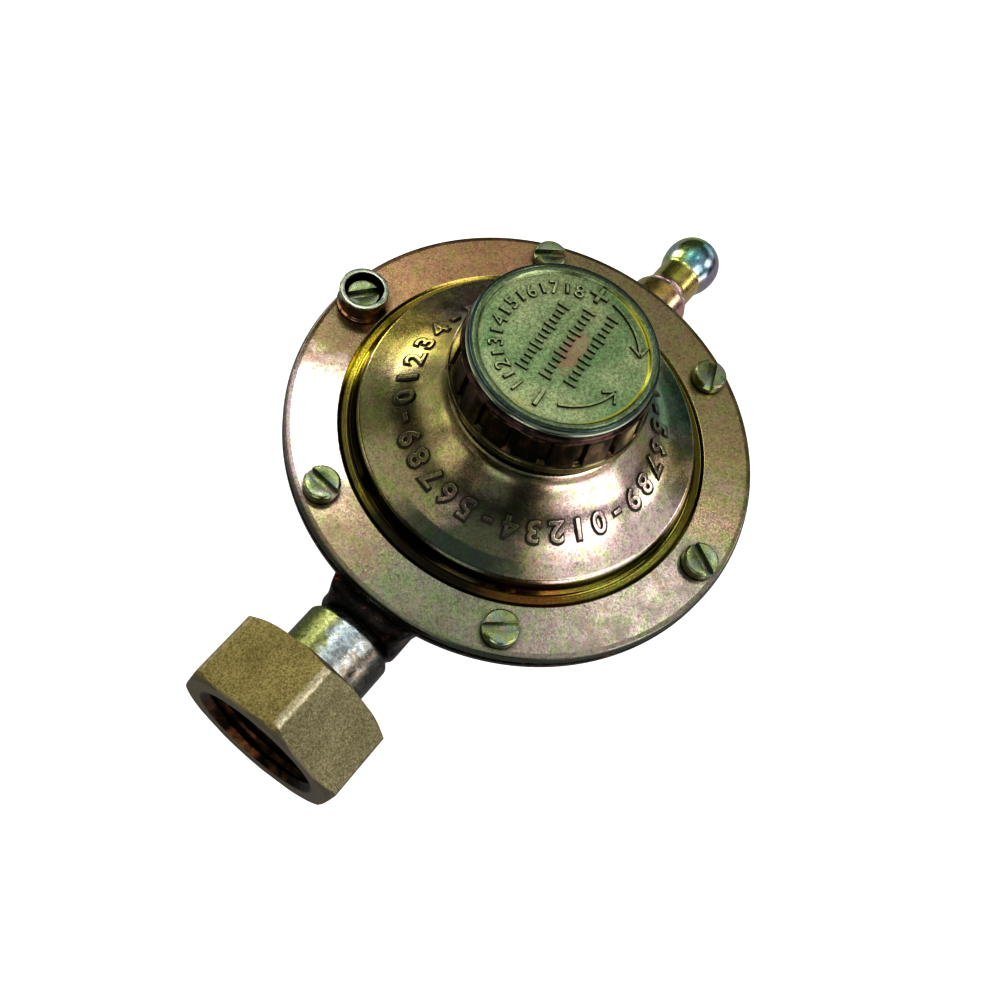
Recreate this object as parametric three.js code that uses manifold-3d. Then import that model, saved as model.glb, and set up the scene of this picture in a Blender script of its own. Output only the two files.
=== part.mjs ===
// Adjustable low-pressure gas regulator: a diaphragm regulator with a screwed adjusting knob on top,
// a union nut on the inlet and a hose nozzle on the outlet.
// Units are millimetres, +Z is up. The origin is the centre of the flat base, on the knob's axis.
// The inlet runs along -Y and the outlet along +Y.
import * as THREE from 'three';
import { mergeVertices } from 'three/addons/utils/BufferGeometryUtils.js';
import Module from 'manifold-3d';

const wasm = await Module();
wasm.setup();

// ---------------------------------------------------------------- driving dimensions

const FLANGE_RADIUS = 37;
const FLANGE_TOP = 24;              // height of the upper flange's top face
const COVER_FLANGE = 1.3;           // thickness of the upper flange
const BODY_FLANGE = 1.4;            // thickness of the lower flange
const DIAPHRAGM_THICKNESS = 0.5;
const FACE_GAP = 0.05;              // between pieces that lie flat on each other
const FIT_GAP = 0.3;                // between pieces that fit into each other

const SCREW_CIRCLE = 33.1;          // radius of the flange screws' circle
const SCREW_COUNT = 6;
const SCREW_HEAD_RADIUS = 2.75;
const SCREW_HEAD_HEIGHT = 2.0;
const SCREW_RADIUS = 1.45;
const SCREW_SLOT = 1.3;             // width of the driver slot
const SCREW_TURNS = [152, 112, 42, 55, 176, 43]; // slot directions, in degrees from +X

const INLET_HEIGHT = 14.8;
const OUTLET_HEIGHT = 11.4;
const BOSS_END = 39.6;              // end of the inlet boss, from the knob's axis
const BOSS_RADIUS = 6.9;
const OUTLET_BOSS_END = 35.8;
const OUTLET_BOSS_RADIUS = 6.2;
const NOZZLE_BORE = 1.9;            // radius of the gas way in the hose nozzle

const NUT_ACROSS_FLATS = 25;
const NUT_BACK = 48.9;              // the nut's rear face, from the knob's axis
const NUT_LENGTH = 11.7;
const NUT_FLOOR = 3.0;              // thickness of the nut's rear wall
const NUT_THREAD_RADIUS = 9.2;
const NUT_RIDGE_ANGLE = 79.3;       // direction of one hexagon corner, in degrees
const STUB_RADIUS = 7.1;
const COLLAR_RADIUS = 8.8;

const KNOB_BOTTOM = 38.9;
const KNOB_TOP = 48.45;
const KNOB_LIP_RADIUS = 15.0;
const KNOB_RIM_RADIUS = 13.66;
const KNOB_GROOVES = 18;
const NECK_TOP = 43.2;
const NECK_RADIUS = 12.1;
const NECK_BORE = 9.6;

const LEVER_PIVOT = { y: -11, z: INLET_HEIGHT - 4.5 };
const PIN_RADIUS = 0.75;
const STEM_RADIUS = 1.25;
const SPRING_RADIUS = 7.6;          // to the middle of the wire
const SPRING_WIRE = 0.8;            // the wire's radius
const SPRING_TURNS = 5;

const coverBottom = FLANGE_TOP - COVER_FLANGE;
const diaphragmTop = coverBottom - FACE_GAP;
const diaphragmBottom = diaphragmTop - DIAPHRAGM_THICKNESS;
const bodyTop = diaphragmBottom - FACE_GAP;
const bodyFlangeBottom = bodyTop - BODY_FLANGE;
const screwHole = SCREW_RADIUS + FIT_GAP;

// ---------------------------------------------------------------- shape helpers

const degrees = THREE.MathUtils.degToRad;

// A closed triangle mesh with shared vertices, no flat triangles and its faces pointing out.
function closedGeometry(source) {
  const bare = source.clone();
  bare.deleteAttribute('normal');
  bare.deleteAttribute('uv');
  const merged = mergeVertices(bare, 1e-4);
  const position = merged.getAttribute('position');
  const index = merged.getIndex().array;
  const corners = [0, 1, 2].map(() => new THREE.Vector3());
  const kept = [];
  let volume = 0;
  for (let i = 0; i < index.length; i += 3) {
    const triangle = [index[i], index[i + 1], index[i + 2]];
    if (new Set(triangle).size < 3) continue;
    corners.forEach((corner, k) => corner.fromBufferAttribute(position, triangle[k]));
    volume += corners[0].dot(corners[1].clone().cross(corners[2]));
    kept.push(...triangle);
  }
  if (volume < 0) {
    for (let i = 0; i < kept.length; i += 3) {
      [kept[i], kept[i + 1]] = [kept[i + 1], kept[i]];
    }
  }
  merged.setIndex(kept);
  return merged;
}

function toSolid(geometry) {
  const closed = closedGeometry(geometry);
  return new wasm.Manifold(new wasm.Mesh({
    numProp: 3,
    vertProperties: new Float32Array(closed.getAttribute('position').array),
    triVerts: new Uint32Array(closed.getIndex().array),
  }));
}

function toGeometry(solid) {
  const mesh = solid.getMesh();
  const geometry = new THREE.BufferGeometry();
  geometry.setAttribute('position', new THREE.BufferAttribute(mesh.vertProperties, 3));
  geometry.setIndex(new THREE.BufferAttribute(mesh.triVerts, 1));
  return geometry;
}

// Joins and cuts: base, plus every geometry in added, minus every geometry in removed.
function combine(base, added, removed) {
  let solid = toSolid(base);
  for (const geometry of added) solid = solid.add(toSolid(geometry));
  for (const geometry of removed) solid = solid.subtract(toSolid(geometry));
  return toGeometry(solid);
}

// Turns a profile of [radius, height] points about Z. A profile off the axis is closed on itself.
function turned(profile, segments = 36) {
  const points = profile.map(([radius, height]) => new THREE.Vector2(radius, height));
  const last = points[points.length - 1];
  if (points[0].x > 0 || last.x > 0) points.push(points[0].clone());
  return closedGeometry(new THREE.LatheGeometry(points, segments).rotateX(Math.PI / 2));
}

// A plain round rod or hole along Z, from low to high.
function rod(radius, low, high, segments = 16) {
  return turned([[0, low], [radius, low], [radius, high], [0, high]], segments);
}

// A box between two opposite corners.
function block(low, high) {
  const size = high.map((value, k) => value - low[k]);
  const centre = high.map((value, k) => (value + low[k]) / 2);
  return new THREE.BoxGeometry(...size).translate(...centre);
}

// The hexagonal prism of a nut, from low to high, with a corner in the given direction.
function hexagon(acrossFlats, low, high, cornerAngle = 0) {
  const radius = acrossFlats / 2 / Math.cos(Math.PI / 6);
  const outline = new THREE.Shape();
  for (let k = 0; k < 6; k += 1) {
    const angle = degrees(cornerAngle + 60 * k);
    outline[k ? 'lineTo' : 'moveTo'](radius * Math.cos(angle), radius * Math.sin(angle));
  }
  const prism = new THREE.ExtrudeGeometry(outline, { depth: high - low, bevelEnabled: false });
  return prism.translate(0, 0, low);
}

// Turned shapes are made along Z, then laid along the inlet (-Y) or the outlet (+Y).
const alongInlet = (geometry) => geometry.rotateX(Math.PI / 2).translate(0, 0, INLET_HEIGHT);
const alongOutlet = (geometry) => geometry.rotateX(-Math.PI / 2).translate(0, 0, OUTLET_HEIGHT);
const acrossX = (geometry) => geometry.rotateY(Math.PI / 2);

const screwAngle = (k) => degrees(60 * k);
const atScrew = (geometry, k) => geometry.translate(
  SCREW_CIRCLE * Math.cos(screwAngle(k)), SCREW_CIRCLE * Math.sin(screwAngle(k)), 0);

function screwHoles(low, high) {
  return Array.from({ length: SCREW_COUNT }, (_, k) => atScrew(rod(screwHole, low, high, 12), k));
}

// ---------------------------------------------------------------- materials

const finish = (color, roughness, metalness) => new THREE.MeshStandardMaterial({ color, roughness, metalness });
const materials = {
  passivated: finish(0x9a8f63, 0.45, 0.8),
  knob: finish(0x6f7d5a, 0.45, 0.8),
  darkCasting: finish(0x33291f, 0.4, 0.8),
  brass: finish(0x847a45, 0.6, 0.9),
  zincSteel: finish(0xa3a86f, 0.35, 0.9),
  steel: finish(0x9a9c9e, 0.4, 0.95),
  rubber: finish(0x1d1d1d, 0.85, 0),
};

// ---------------------------------------------------------------- lower body

// Bowl with its flange, inlet and outlet bosses, the valve guide and the two ears of the lever's pin.
function bodyCasting() {
  const bowl = turned([
    [0, 0], [17, 0], [20.5, 1.2], [24.5, 4.6], [27.5, 9.8], [29, 15.4], [29.6, bodyFlangeBottom],
    [FLANGE_RADIUS - 0.4, bodyFlangeBottom], [FLANGE_RADIUS, bodyFlangeBottom + 0.4],
    [FLANGE_RADIUS, bodyTop], [26.5, bodyTop], [26.2, 12], [24, 7.2], [20.5, 4.1], [17, 2.8], [0, 2.8],
  ]);
  const inletBoss = alongInlet(rod(BOSS_RADIUS, 25, BOSS_END, 24));
  const outletBoss = alongOutlet(turned([
    [0, 22], [OUTLET_BOSS_RADIUS + 0.8, 22], [OUTLET_BOSS_RADIUS, OUTLET_BOSS_END], [0, OUTLET_BOSS_END],
  ], 24));
  const webOutline = new THREE.Shape();
  webOutline.moveTo(-10.5, -28);
  webOutline.lineTo(-6.5, -38.6);
  webOutline.lineTo(6.5, -38.6);
  webOutline.lineTo(10.5, -28);
  const web = new THREE.ExtrudeGeometry(webOutline, { depth: 3, bevelEnabled: false });
  web.translate(0, 0, bodyFlangeBottom - 2.6);
  const guide = block([-4.6, -18.6, 2.4], [4.6, -14.2, 18.9]);
  const ears = [-1, 1].map((side) => block(
    [side < 0 ? -4.4 : 2.3, -15, 2.4], [side < 0 ? -2.3 : 4.4, LEVER_PIVOT.y + 2.6, LEVER_PIVOT.z + 2.6]));
  const pinHole = acrossX(rod(PIN_RADIUS + FIT_GAP, -8, 8, 12));
  pinHole.translate(0, LEVER_PIVOT.y, LEVER_PIVOT.z);
  return combine(bowl, [inletBoss, outletBoss, web, guide, ...ears], [
    alongInlet(rod(5.0, 20, BOSS_END + 2)),
    alongInlet(rod(3.1, 10, 20.5)),
    alongOutlet(rod(3.9, 20, OUTLET_BOSS_END + 2)),
    pinHole,
    ...screwHoles(bodyFlangeBottom - 1, bodyTop + 1),
  ]);
}

// ---------------------------------------------------------------- upper cover

// Flange, bell-shaped spring housing, collar and threaded neck.
function upperCover() {
  const collar = 14.2;
  const profile = [
    [24.6, coverBottom], [FLANGE_RADIUS - 0.3, coverBottom], [FLANGE_RADIUS, coverBottom + 0.3],
    [FLANGE_RADIUS, FLANGE_TOP - 0.6], [FLANGE_RADIUS - 0.3, FLANGE_TOP - 0.15],
    [FLANGE_RADIUS - 0.9, FLANGE_TOP], [28.9, FLANGE_TOP], [28.3, FLANGE_TOP - 0.3],
    [27.1, FLANGE_TOP - 0.3], [26.5, FLANGE_TOP + 0.3], [26.4, 26.6], [26.0, 27.1],
    [23.4, 27.7], [20.9, 28.5], [18.2, 30.4], [15.6, 33.1], [14.5, 34.4], [collar, 35.2],
    [collar, 36.0], [collar - 0.3, 36.2], [NECK_RADIUS, 36.2], [NECK_RADIUS, NECK_TOP],
    [NECK_BORE, NECK_TOP], [NECK_BORE, 33.6], [12.5, 31.6], [16.8, 28.6], [19.8, 26.9], [24.6, 25.4],
  ];
  return combine(turned(profile), [], screwHoles(coverBottom - 1, FLANGE_TOP + 1));
}

// Slotted cheese-head screw, standing on the height given.
function flangeScrew(k, seat) {
  const top = seat + SCREW_HEAD_HEIGHT;
  const shape = turned([
    [0, bodyFlangeBottom - 0.4], [SCREW_RADIUS, bodyFlangeBottom - 0.4], [SCREW_RADIUS, seat],
    [SCREW_HEAD_RADIUS, seat], [SCREW_HEAD_RADIUS, top - 0.35], [SCREW_HEAD_RADIUS - 0.35, top], [0, top],
  ], 16);
  const slot = block([-4, -SCREW_SLOT / 2, top - 0.9], [4, SCREW_SLOT / 2, top + 1]);
  return atScrew(combine(shape, [], [slot]).rotateZ(degrees(SCREW_TURNS[k])), k);
}

// Small metal cup held under one screw, whose head sits inside it.
const CUP_SCREW = 3;
const CUP_FLOOR = 0.5;
const cupSeat = FLANGE_TOP + FACE_GAP;

function sealCup() {
  return atScrew(turned([
    [screwHole, cupSeat], [4.05, cupSeat], [4.05, cupSeat + 0.5], [3.85, cupSeat + 0.75],
    [3.85, cupSeat + 3.8], [3.05, cupSeat + 3.8], [3.05, cupSeat + CUP_FLOOR], [screwHole, cupSeat + CUP_FLOOR],
  ], 24), CUP_SCREW);
}

// ---------------------------------------------------------------- adjusting knob and spring

function adjustingKnob() {
  const profile = [
    [12.5, KNOB_BOTTOM], [KNOB_LIP_RADIUS - 0.2, KNOB_BOTTOM], [KNOB_LIP_RADIUS, KNOB_BOTTOM + 0.3],
    [KNOB_LIP_RADIUS - 0.1, KNOB_BOTTOM + 1.4], [14.6, KNOB_BOTTOM + 1.6], [14.0, KNOB_TOP - 2.6],
    [13.4, KNOB_TOP - 2.4], [13.3, KNOB_TOP - 1.5], [KNOB_RIM_RADIUS, KNOB_TOP - 1.1],
    [KNOB_RIM_RADIUS, KNOB_TOP - 0.35], [13.3, KNOB_TOP], [12.5, KNOB_TOP], [12, KNOB_TOP - 0.5],
    [0, KNOB_TOP - 0.5], [0, KNOB_TOP - 3.45], [4, KNOB_TOP - 3.45], [4, KNOB_TOP - 2.45],
    [12.5, KNOB_TOP - 2.45],
  ];
  const grooves = Array.from({ length: KNOB_GROOVES }, (_, k) => {
    const groove = block([13.7, -0.45, KNOB_BOTTOM + 1.6], [16, 0.45, KNOB_TOP - 2.5]);
    return groove.rotateZ((2 * Math.PI * k) / KNOB_GROOVES);
  });
  return combine(turned(profile), [], grooves);
}

// Round seat under the knob's centre, which presses on the spring without turning.
function springButton() {
  const under = KNOB_TOP - 3.45 - FIT_GAP;
  return turned([
    [0, 39.4], [6.2, 39.4], [6.4, 41], [9.2, 41], [9.2, 42.3], [2.8, 42.4], [2.0, under], [0, under],
  ], 20);
}

// Coil whose wire centre runs from low to high, with a flat turn at each end.
class CoilCurve extends THREE.Curve {
  constructor(radius, low, high, turns) {
    super();
    Object.assign(this, { radius, low, high, turns });
  }

  getPoint(t, target = new THREE.Vector3()) {
    const angle = 2 * Math.PI * this.turns * t;
    const rise = THREE.MathUtils.clamp((t * this.turns - 0.7) / (this.turns - 1.4), 0, 1);
    const height = THREE.MathUtils.lerp(this.low, this.high, rise);
    return target.set(this.radius * Math.cos(angle), this.radius * Math.sin(angle), height);
  }
}

const plateTop = diaphragmTop + FACE_GAP + 0.9;

function mainSpring() {
  const section = new THREE.Shape();
  section.absarc(0, 0, SPRING_WIRE, 0, 2 * Math.PI);
  const path = new CoilCurve(SPRING_RADIUS, plateTop + 0.1 + SPRING_WIRE, 40.9 - SPRING_WIRE, SPRING_TURNS);
  const options = { steps: SPRING_TURNS * 10, extrudePath: path, curveSegments: 3, bevelEnabled: false };
  return closedGeometry(new THREE.ExtrudeGeometry(section, options));
}

// ---------------------------------------------------------------- diaphragm and its centre

// Rubber sheet with one rolled convolution, clamped between the flanges.
function diaphragm() {
  const roll = [[18.3, 0], [20, -1.2], [21.4, -1.6], [22.8, -1.2], [24.5, 0]];
  const edge = FLANGE_RADIUS - 0.4;
  const upper = roll.map(([radius, drop]) => [radius, diaphragmTop + drop]);
  const lower = roll.map(([radius, drop]) => [radius, diaphragmBottom + drop]).reverse();
  const profile = [
    [screwHole, diaphragmTop], ...upper, [edge, diaphragmTop], [edge, diaphragmBottom], ...lower,
    [screwHole, diaphragmBottom],
  ];
  return combine(turned(profile, 30), [], screwHoles(diaphragmBottom - 1, diaphragmTop + 1));
}

function upperPlate() {
  const low = diaphragmTop + FACE_GAP;
  return turned([
    [screwHole, low], [17, low], [17, plateTop], [9.7, plateTop], [9.6, plateTop + 0.8],
    [8.9, plateTop + 0.8], [8.8, plateTop], [screwHole, plateTop],
  ], 24);
}

const lowerPlateTop = diaphragmBottom - FACE_GAP;
const lowerPlateBottom = lowerPlateTop - 0.9;

function lowerPlate() {
  return turned([
    [screwHole, lowerPlateBottom], [11.6, lowerPlateBottom], [12, lowerPlateBottom + 0.4],
    [12, lowerPlateTop], [screwHole, lowerPlateTop],
  ], 24);
}

// Stem with a button that the lever's fork hangs on, a shoulder and a threaded end.
function diaphragmStem() {
  const shoulder = lowerPlateBottom - FACE_GAP;
  return turned([
    [0, 7.4], [2.3, 7.4], [2.6, 7.7], [2.6, 8.7], [STEM_RADIUS, 9.0], [STEM_RADIUS, shoulder - 1.2],
    [3.2, shoulder - 1.2], [3.2, shoulder], [SCREW_RADIUS, shoulder], [SCREW_RADIUS, 26.6], [0, 26.6],
  ], 12);
}

function stemNut() {
  return combine(hexagon(5.5, plateTop + FACE_GAP, plateTop + 2.2, 30), [], [rod(screwHole, 20, 30, 12)]);
}

// ---------------------------------------------------------------- lever and valve

// Bell-crank lever: the fork hangs on the stem's button, the short arm pushes the valve plunger shut.
function lever() {
  const { y, z } = LEVER_PIVOT;
  const hub = acrossX(rod(1.9, -1.9, 1.9)).translate(0, y, z);
  const shortArm = block([-1.9, -12.6, z], [1.9, -10.9, INLET_HEIGHT + 1.2]);
  const longArm = block([-1.9, y, z - 0.8], [1.9, -2, z + 0.8]);
  const fork = block([-3.2, -4, z - 0.8], [3.2, 3.2, z + 0.8]);
  const slot = block([-1.6, -1.8, z - 3], [1.6, 5, z + 3]);
  const hole = acrossX(rod(PIN_RADIUS + FIT_GAP, -5, 5, 12)).translate(0, y, z);
  return combine(hub, [shortArm, longArm, fork], [slot, hole]);
}

const leverPin = () => acrossX(rod(PIN_RADIUS, -4.3, 4.3, 12)).translate(0, LEVER_PIVOT.y, LEVER_PIVOT.z);

const plungerFront = 19.35;
const plungerBack = 12.9;
const padThickness = 1.2;
const padFront = plungerFront + FACE_GAP + padThickness;

const valvePlunger = () => alongInlet(turned([
  [0, plungerBack], [2.4, plungerBack], [2.8, plungerBack + 0.4], [2.8, plungerFront], [0, plungerFront],
], 16));

const valvePad = () => alongInlet(rod(2.2, plungerFront + FACE_GAP, padFront));

// Brass jet with a coned seat that the valve pad closes.
const valveSeatJet = () => alongInlet(turned([
  [0.8, 30], [2.3, 30], [2.3, 26.7], [3.6, 26.7], [3.6, 23.8], [1.7, padFront + 1], [0.8, padFront + 1],
], 16));

// ---------------------------------------------------------------- inlet

const collarBack = 52.7;
const collarFront = 54.4;

// Steel spigot: threaded shank in the body, visible stub, and the collar that the nut pulls on.
const inletSpigot = () => alongInlet(turned([
  [2.6, 27], [4.7, 27], [4.7, BOSS_END + FIT_GAP], [6.4, BOSS_END + FIT_GAP], [STUB_RADIUS, 40.6],
  [STUB_RADIUS, collarBack], [COLLAR_RADIUS, collarBack], [COLLAR_RADIUS, collarFront], [2.6, collarFront],
], 24));

const inletFilter = () => alongInlet(turned([[0, 44], [1.6, 44], [2.3, 45], [2.3, 54], [0, 54]], 12));

const inletGasket = () => alongInlet(turned([
  [3, collarFront + FACE_GAP], [8.6, collarFront + FACE_GAP], [8.6, 56], [3, 56],
], 24));

const nutSlipWasher = () => alongInlet(turned([
  [7.45, NUT_BACK + NUT_FLOOR + 0.1], [8.9, NUT_BACK + NUT_FLOOR + 0.1], [8.9, collarBack - 0.1],
  [7.45, collarBack - 0.1],
], 24));

function unionNut() {
  const front = NUT_BACK + NUT_LENGTH;
  const corner = NUT_ACROSS_FLATS / 2 / Math.cos(Math.PI / 6);
  const chamfer = 0.8;
  const blank = toSolid(hexagon(NUT_ACROSS_FLATS, NUT_BACK, front, NUT_RIDGE_ANGLE));
  const cone = toSolid(turned([
    [0, NUT_BACK], [corner - 1.7, NUT_BACK], [corner + 0.1, NUT_BACK + chamfer + 0.2],
    [corner + 0.1, front - chamfer - 0.2], [corner - 1.7, front], [0, front],
  ]));
  const bore = turned([
    [0, NUT_BACK - 1], [STUB_RADIUS + FIT_GAP, NUT_BACK - 1], [STUB_RADIUS + FIT_GAP, NUT_BACK + NUT_FLOOR],
    [NUT_THREAD_RADIUS, NUT_BACK + NUT_FLOOR], [NUT_THREAD_RADIUS, front - 0.9], [NUT_THREAD_RADIUS + 1, front],
    [NUT_THREAD_RADIUS + 1, front + 1], [0, front + 1],
  ], 24);
  return alongInlet(toGeometry(blank.intersect(cone).subtract(toSolid(bore))));
}

// ---------------------------------------------------------------- outlet

// Hose nozzle: threaded shank, round barrel, neck and rounded hose bead with its bore.
const outletNozzle = () => alongOutlet(turned([
  [NOZZLE_BORE, 24.5], [3.6, 24.5], [3.6, 36.9], [5.35, 36.9], [5.35, 46.6], [5.1, 47.5], [4.3, 48.2],
  [3.8, 49.2], [3.8, 53.0], [4.4, 54.0], [4.95, 55.5], [5.15, 57.2], [4.95, 58.9], [4.3, 60.4],
  [3.5, 61.4], [3.1, 61.8], [NOZZLE_BORE, 61.8],
], 20));

const outletSealRing = () => alongOutlet(turned([
  [3.9, OUTLET_BOSS_END + FACE_GAP], [5.8, OUTLET_BOSS_END + FACE_GAP], [5.8, 36.8], [3.9, 36.8],
], 20));

// ---------------------------------------------------------------- assembly

const regulator = new THREE.Group();

function addPart(name, geometry, material) {
  const mesh = new THREE.Mesh(geometry, material);
  mesh.name = name;
  regulator.add(mesh);
}

addPart('body_casting', bodyCasting(), materials.darkCasting);
addPart('upper_cover', upperCover(), materials.passivated);
for (let k = 0; k < SCREW_COUNT; k += 1) {
  const seat = FLANGE_TOP + FACE_GAP + (k === CUP_SCREW ? CUP_FLOOR + FACE_GAP : 0);
  addPart(`flange_screw_${k + 1}`, flangeScrew(k, seat), materials.zincSteel);
}
addPart('seal_cup', sealCup(), materials.zincSteel);
addPart('adjusting_knob', adjustingKnob(), materials.knob);
addPart('spring_button', springButton(), materials.steel);
addPart('main_spring', mainSpring(), materials.steel);
addPart('diaphragm', diaphragm(), materials.rubber);
addPart('diaphragm_plate_upper', upperPlate(), materials.steel);
addPart('diaphragm_plate_lower', lowerPlate(), materials.steel);
addPart('diaphragm_stem', diaphragmStem(), materials.brass);
addPart('stem_nut', stemNut(), materials.steel);
addPart('lever', lever(), materials.steel);
addPart('lever_pin', leverPin(), materials.steel);
addPart('valve_plunger', valvePlunger(), materials.brass);
addPart('valve_pad', valvePad(), materials.rubber);
addPart('valve_seat_jet', valveSeatJet(), materials.brass);
addPart('inlet_spigot', inletSpigot(), materials.zincSteel);
addPart('inlet_filter', inletFilter(), materials.brass);
addPart('inlet_gasket', inletGasket(), materials.rubber);
addPart('nut_slip_washer', nutSlipWasher(), materials.steel);
addPart('union_nut', unionNut(), materials.brass);
addPart('outlet_nozzle', outletNozzle(), materials.zincSteel);
addPart('outlet_seal_ring', outletSealRing(), materials.rubber);

export default regulator;
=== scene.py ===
"""Looks of an adjustable gas regulator: yellow-passivated cover, knob, brass union nut and hose nozzle."""

import math

import bmesh
import bpy
import numpy as np
from mathutils import Matrix, Vector


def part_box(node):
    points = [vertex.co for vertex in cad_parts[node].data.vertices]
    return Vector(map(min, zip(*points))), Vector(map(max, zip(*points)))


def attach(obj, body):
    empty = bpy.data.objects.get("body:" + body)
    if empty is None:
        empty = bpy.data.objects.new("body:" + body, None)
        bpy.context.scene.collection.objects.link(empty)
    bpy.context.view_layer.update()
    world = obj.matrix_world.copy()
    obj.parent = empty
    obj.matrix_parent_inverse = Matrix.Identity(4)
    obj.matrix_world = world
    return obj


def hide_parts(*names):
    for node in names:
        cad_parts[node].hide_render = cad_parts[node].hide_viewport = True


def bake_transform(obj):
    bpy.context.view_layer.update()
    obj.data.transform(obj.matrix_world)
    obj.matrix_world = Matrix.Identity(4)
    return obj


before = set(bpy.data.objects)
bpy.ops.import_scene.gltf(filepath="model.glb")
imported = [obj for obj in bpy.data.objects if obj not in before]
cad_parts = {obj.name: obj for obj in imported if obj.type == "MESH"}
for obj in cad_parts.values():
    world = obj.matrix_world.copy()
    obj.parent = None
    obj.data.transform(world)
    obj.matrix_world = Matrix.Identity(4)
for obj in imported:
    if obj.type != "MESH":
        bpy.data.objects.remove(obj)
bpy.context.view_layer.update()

MM = 0.001
TAU = 2 * math.pi
TO_METRES = Matrix.Diagonal((MM, MM, MM, 1))

# ---------------- sizes, in millimetres


def node_box(node):
    low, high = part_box(node)
    return low / MM, high / MM


COVER_LOW, COVER_HIGH = node_box("upper_cover")
KNOB_LOW, KNOB_HIGH = node_box("adjusting_knob")
NUT_LOW, NUT_HIGH = node_box("union_nut")
SPIGOT_LOW, SPIGOT_HIGH = node_box("inlet_spigot")
NOZZLE_LOW, NOZZLE_HIGH = node_box("outlet_nozzle")
DISC_TOP = node_box("diaphragm")[1].z
SPRING_LOW, SPRING_HIGH = node_box("main_spring")

FLANGE_RADIUS = COVER_HIGH.x
FLANGE_BOTTOM = COVER_LOW.z
FLANGE_TOP = FLANGE_BOTTOM + 1.3
BODY_TOP = node_box("body_casting")[1].z
BODY_FLANGE_THICKNESS = 1.4
CAVITY = 26.5                # the body's bore under the diaphragm
INLET_HEIGHT = (SPIGOT_LOW.z + SPIGOT_HIGH.z) / 2
OUTLET_HEIGHT = (NOZZLE_LOW.z + NOZZLE_HIGH.z) / 2
NECK_RADIUS = 12.1
NECK_BORE = 9.6
NECK_TOP = COVER_HIGH.z
ADJUSTER_PITCH = 1.5

SCREW_CIRCLE = 33.1
SCREW_COUNT = 6
SCREW_HOLE = 1.75
SCREW_HEAD = 2.75
SCREW_HEAD_HEIGHT = 2.0
SCREW_SHANK = 1.45
SCREW_SLOT_TURNS = (152, 112, 42, 55, 176, 43)
CUP_SCREW = 3

KNOB_TOP = KNOB_HIGH.z
KNOB_BOTTOM = KNOB_LOW.z
KNOB_FLOOR = KNOB_TOP - 0.5
KNOB_SIDE_TOP = KNOB_TOP - 2.55
KNOB_SIDE_LOW = KNOB_BOTTOM + 1.55
KNOB_SHOULDER = 14.0         # radius at the top of the ribbed side
KNOB_SKIRT = 14.6            # radius at its foot
KNOB_BORE = 12.5
KNOB_RIBS = 18
KNOB_TEXT_TURN = 97          # direction of the knob's rows of ticks, in degrees from +X

NUT_BACK = -NUT_HIGH.y
NUT_FRONT = -NUT_LOW.y
NUT_APOTHEM = 12.5
NUT_RIDGE_RADIUS = 14.2
NUT_RIDGE_ANGLE = 79.3
NUT_THREAD = 9.2
NUT_BORE = 7.4
STUB_RADIUS = 7.1
NOZZLE_SHANK = 5.35
NOZZLE_BARREL = 4.1
NOZZLE_BORE = 1.9

SPRING_TURNS = 5
SPRING_END_TURNS = 0.7       # closed turns at each end
SPRING_RADIUS = 7.6
WIRE_RADIUS = 0.8
DISC_THICKNESS = 0.5

# ---------------- outlines


def outline(points, closed=False, steps=5, support=0.1):
    """Points of an outline with corners (r, z) or (r, z, fillet). Long sides get points near their ends."""
    count = len(points)
    found = []
    for i, corner in enumerate(points):
        here = np.array(corner[:2], float)
        fillet = corner[2] if len(corner) > 2 else 0
        if not fillet or (not closed and i in (0, count - 1)):
            found.append(here)
            continue
        before = np.array(points[i - 1][:2], float) - here
        after = np.array(points[(i + 1) % count][:2], float) - here
        len_before, len_after = np.linalg.norm(before), np.linalg.norm(after)
        before, after = before / len_before, after / len_after
        half = math.acos(max(-1, min(1, float(before @ after)))) / 2
        reach = min(fillet / math.tan(half), 0.49 * len_before, 0.49 * len_after)
        radius = reach * math.tan(half)
        middle = (before + after) / np.linalg.norm(before + after)
        centre = here + middle * radius / math.sin(half)
        start, end = here + before * reach - centre, here + after * reach - centre
        sweep = math.pi - 2 * half
        for k in range(steps + 1):
            part = k / steps
            arm = math.sin((1 - part) * sweep) * start + math.sin(part * sweep) * end
            found.append(centre + arm / math.sin(sweep))
    return supported(found, closed, support)


def supported(points, closed, support):
    """Adds a point near both ends of every long side, so that smooth shading stays flat between them."""
    sides = len(points) if closed else len(points) - 1
    result = []
    for i in range(sides):
        start, end = points[i], points[(i + 1) % len(points)]
        result.append(start)
        length = np.linalg.norm(end - start)
        if length > 6 * support:
            step = (end - start) * support / length
            result += [start + step, end - step]
    if not closed:
        result.append(points[-1])
    return [tuple(p) for p in result]


def spline(points, steps=6):
    """A smooth Catmull-Rom curve through the points."""
    p = [np.array(q, float) for q in points]
    p = [2 * p[0] - p[1], *p, 2 * p[-1] - p[-2]]
    found = []
    for i in range(1, len(p) - 2):
        for t in np.linspace(0, 1, steps, endpoint=False):
            found.append(0.5 * ((2 * p[i]) + (p[i + 1] - p[i - 1]) * t
                                + (2 * p[i - 1] - 5 * p[i] + 4 * p[i + 1] - p[i + 2]) * t ** 2
                                + (3 * p[i] - p[i - 1] - 3 * p[i + 1] + p[i + 2]) * t ** 3))
    found.append(p[-2])
    return [tuple(q) for q in found]


def helix_wave(turn, height):
    """0 to 1 and back, once for each pitch of the adjuster's thread."""
    phase = height / ADJUSTER_PITCH - turn / TAU
    return np.abs((phase % 1) * 2 - 1)


def smooth_step(value, low, high):
    t = np.clip((value - low) / (high - low), 0, 1)
    return t * t * (3 - 2 * t)


# ---------------- meshes


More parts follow.
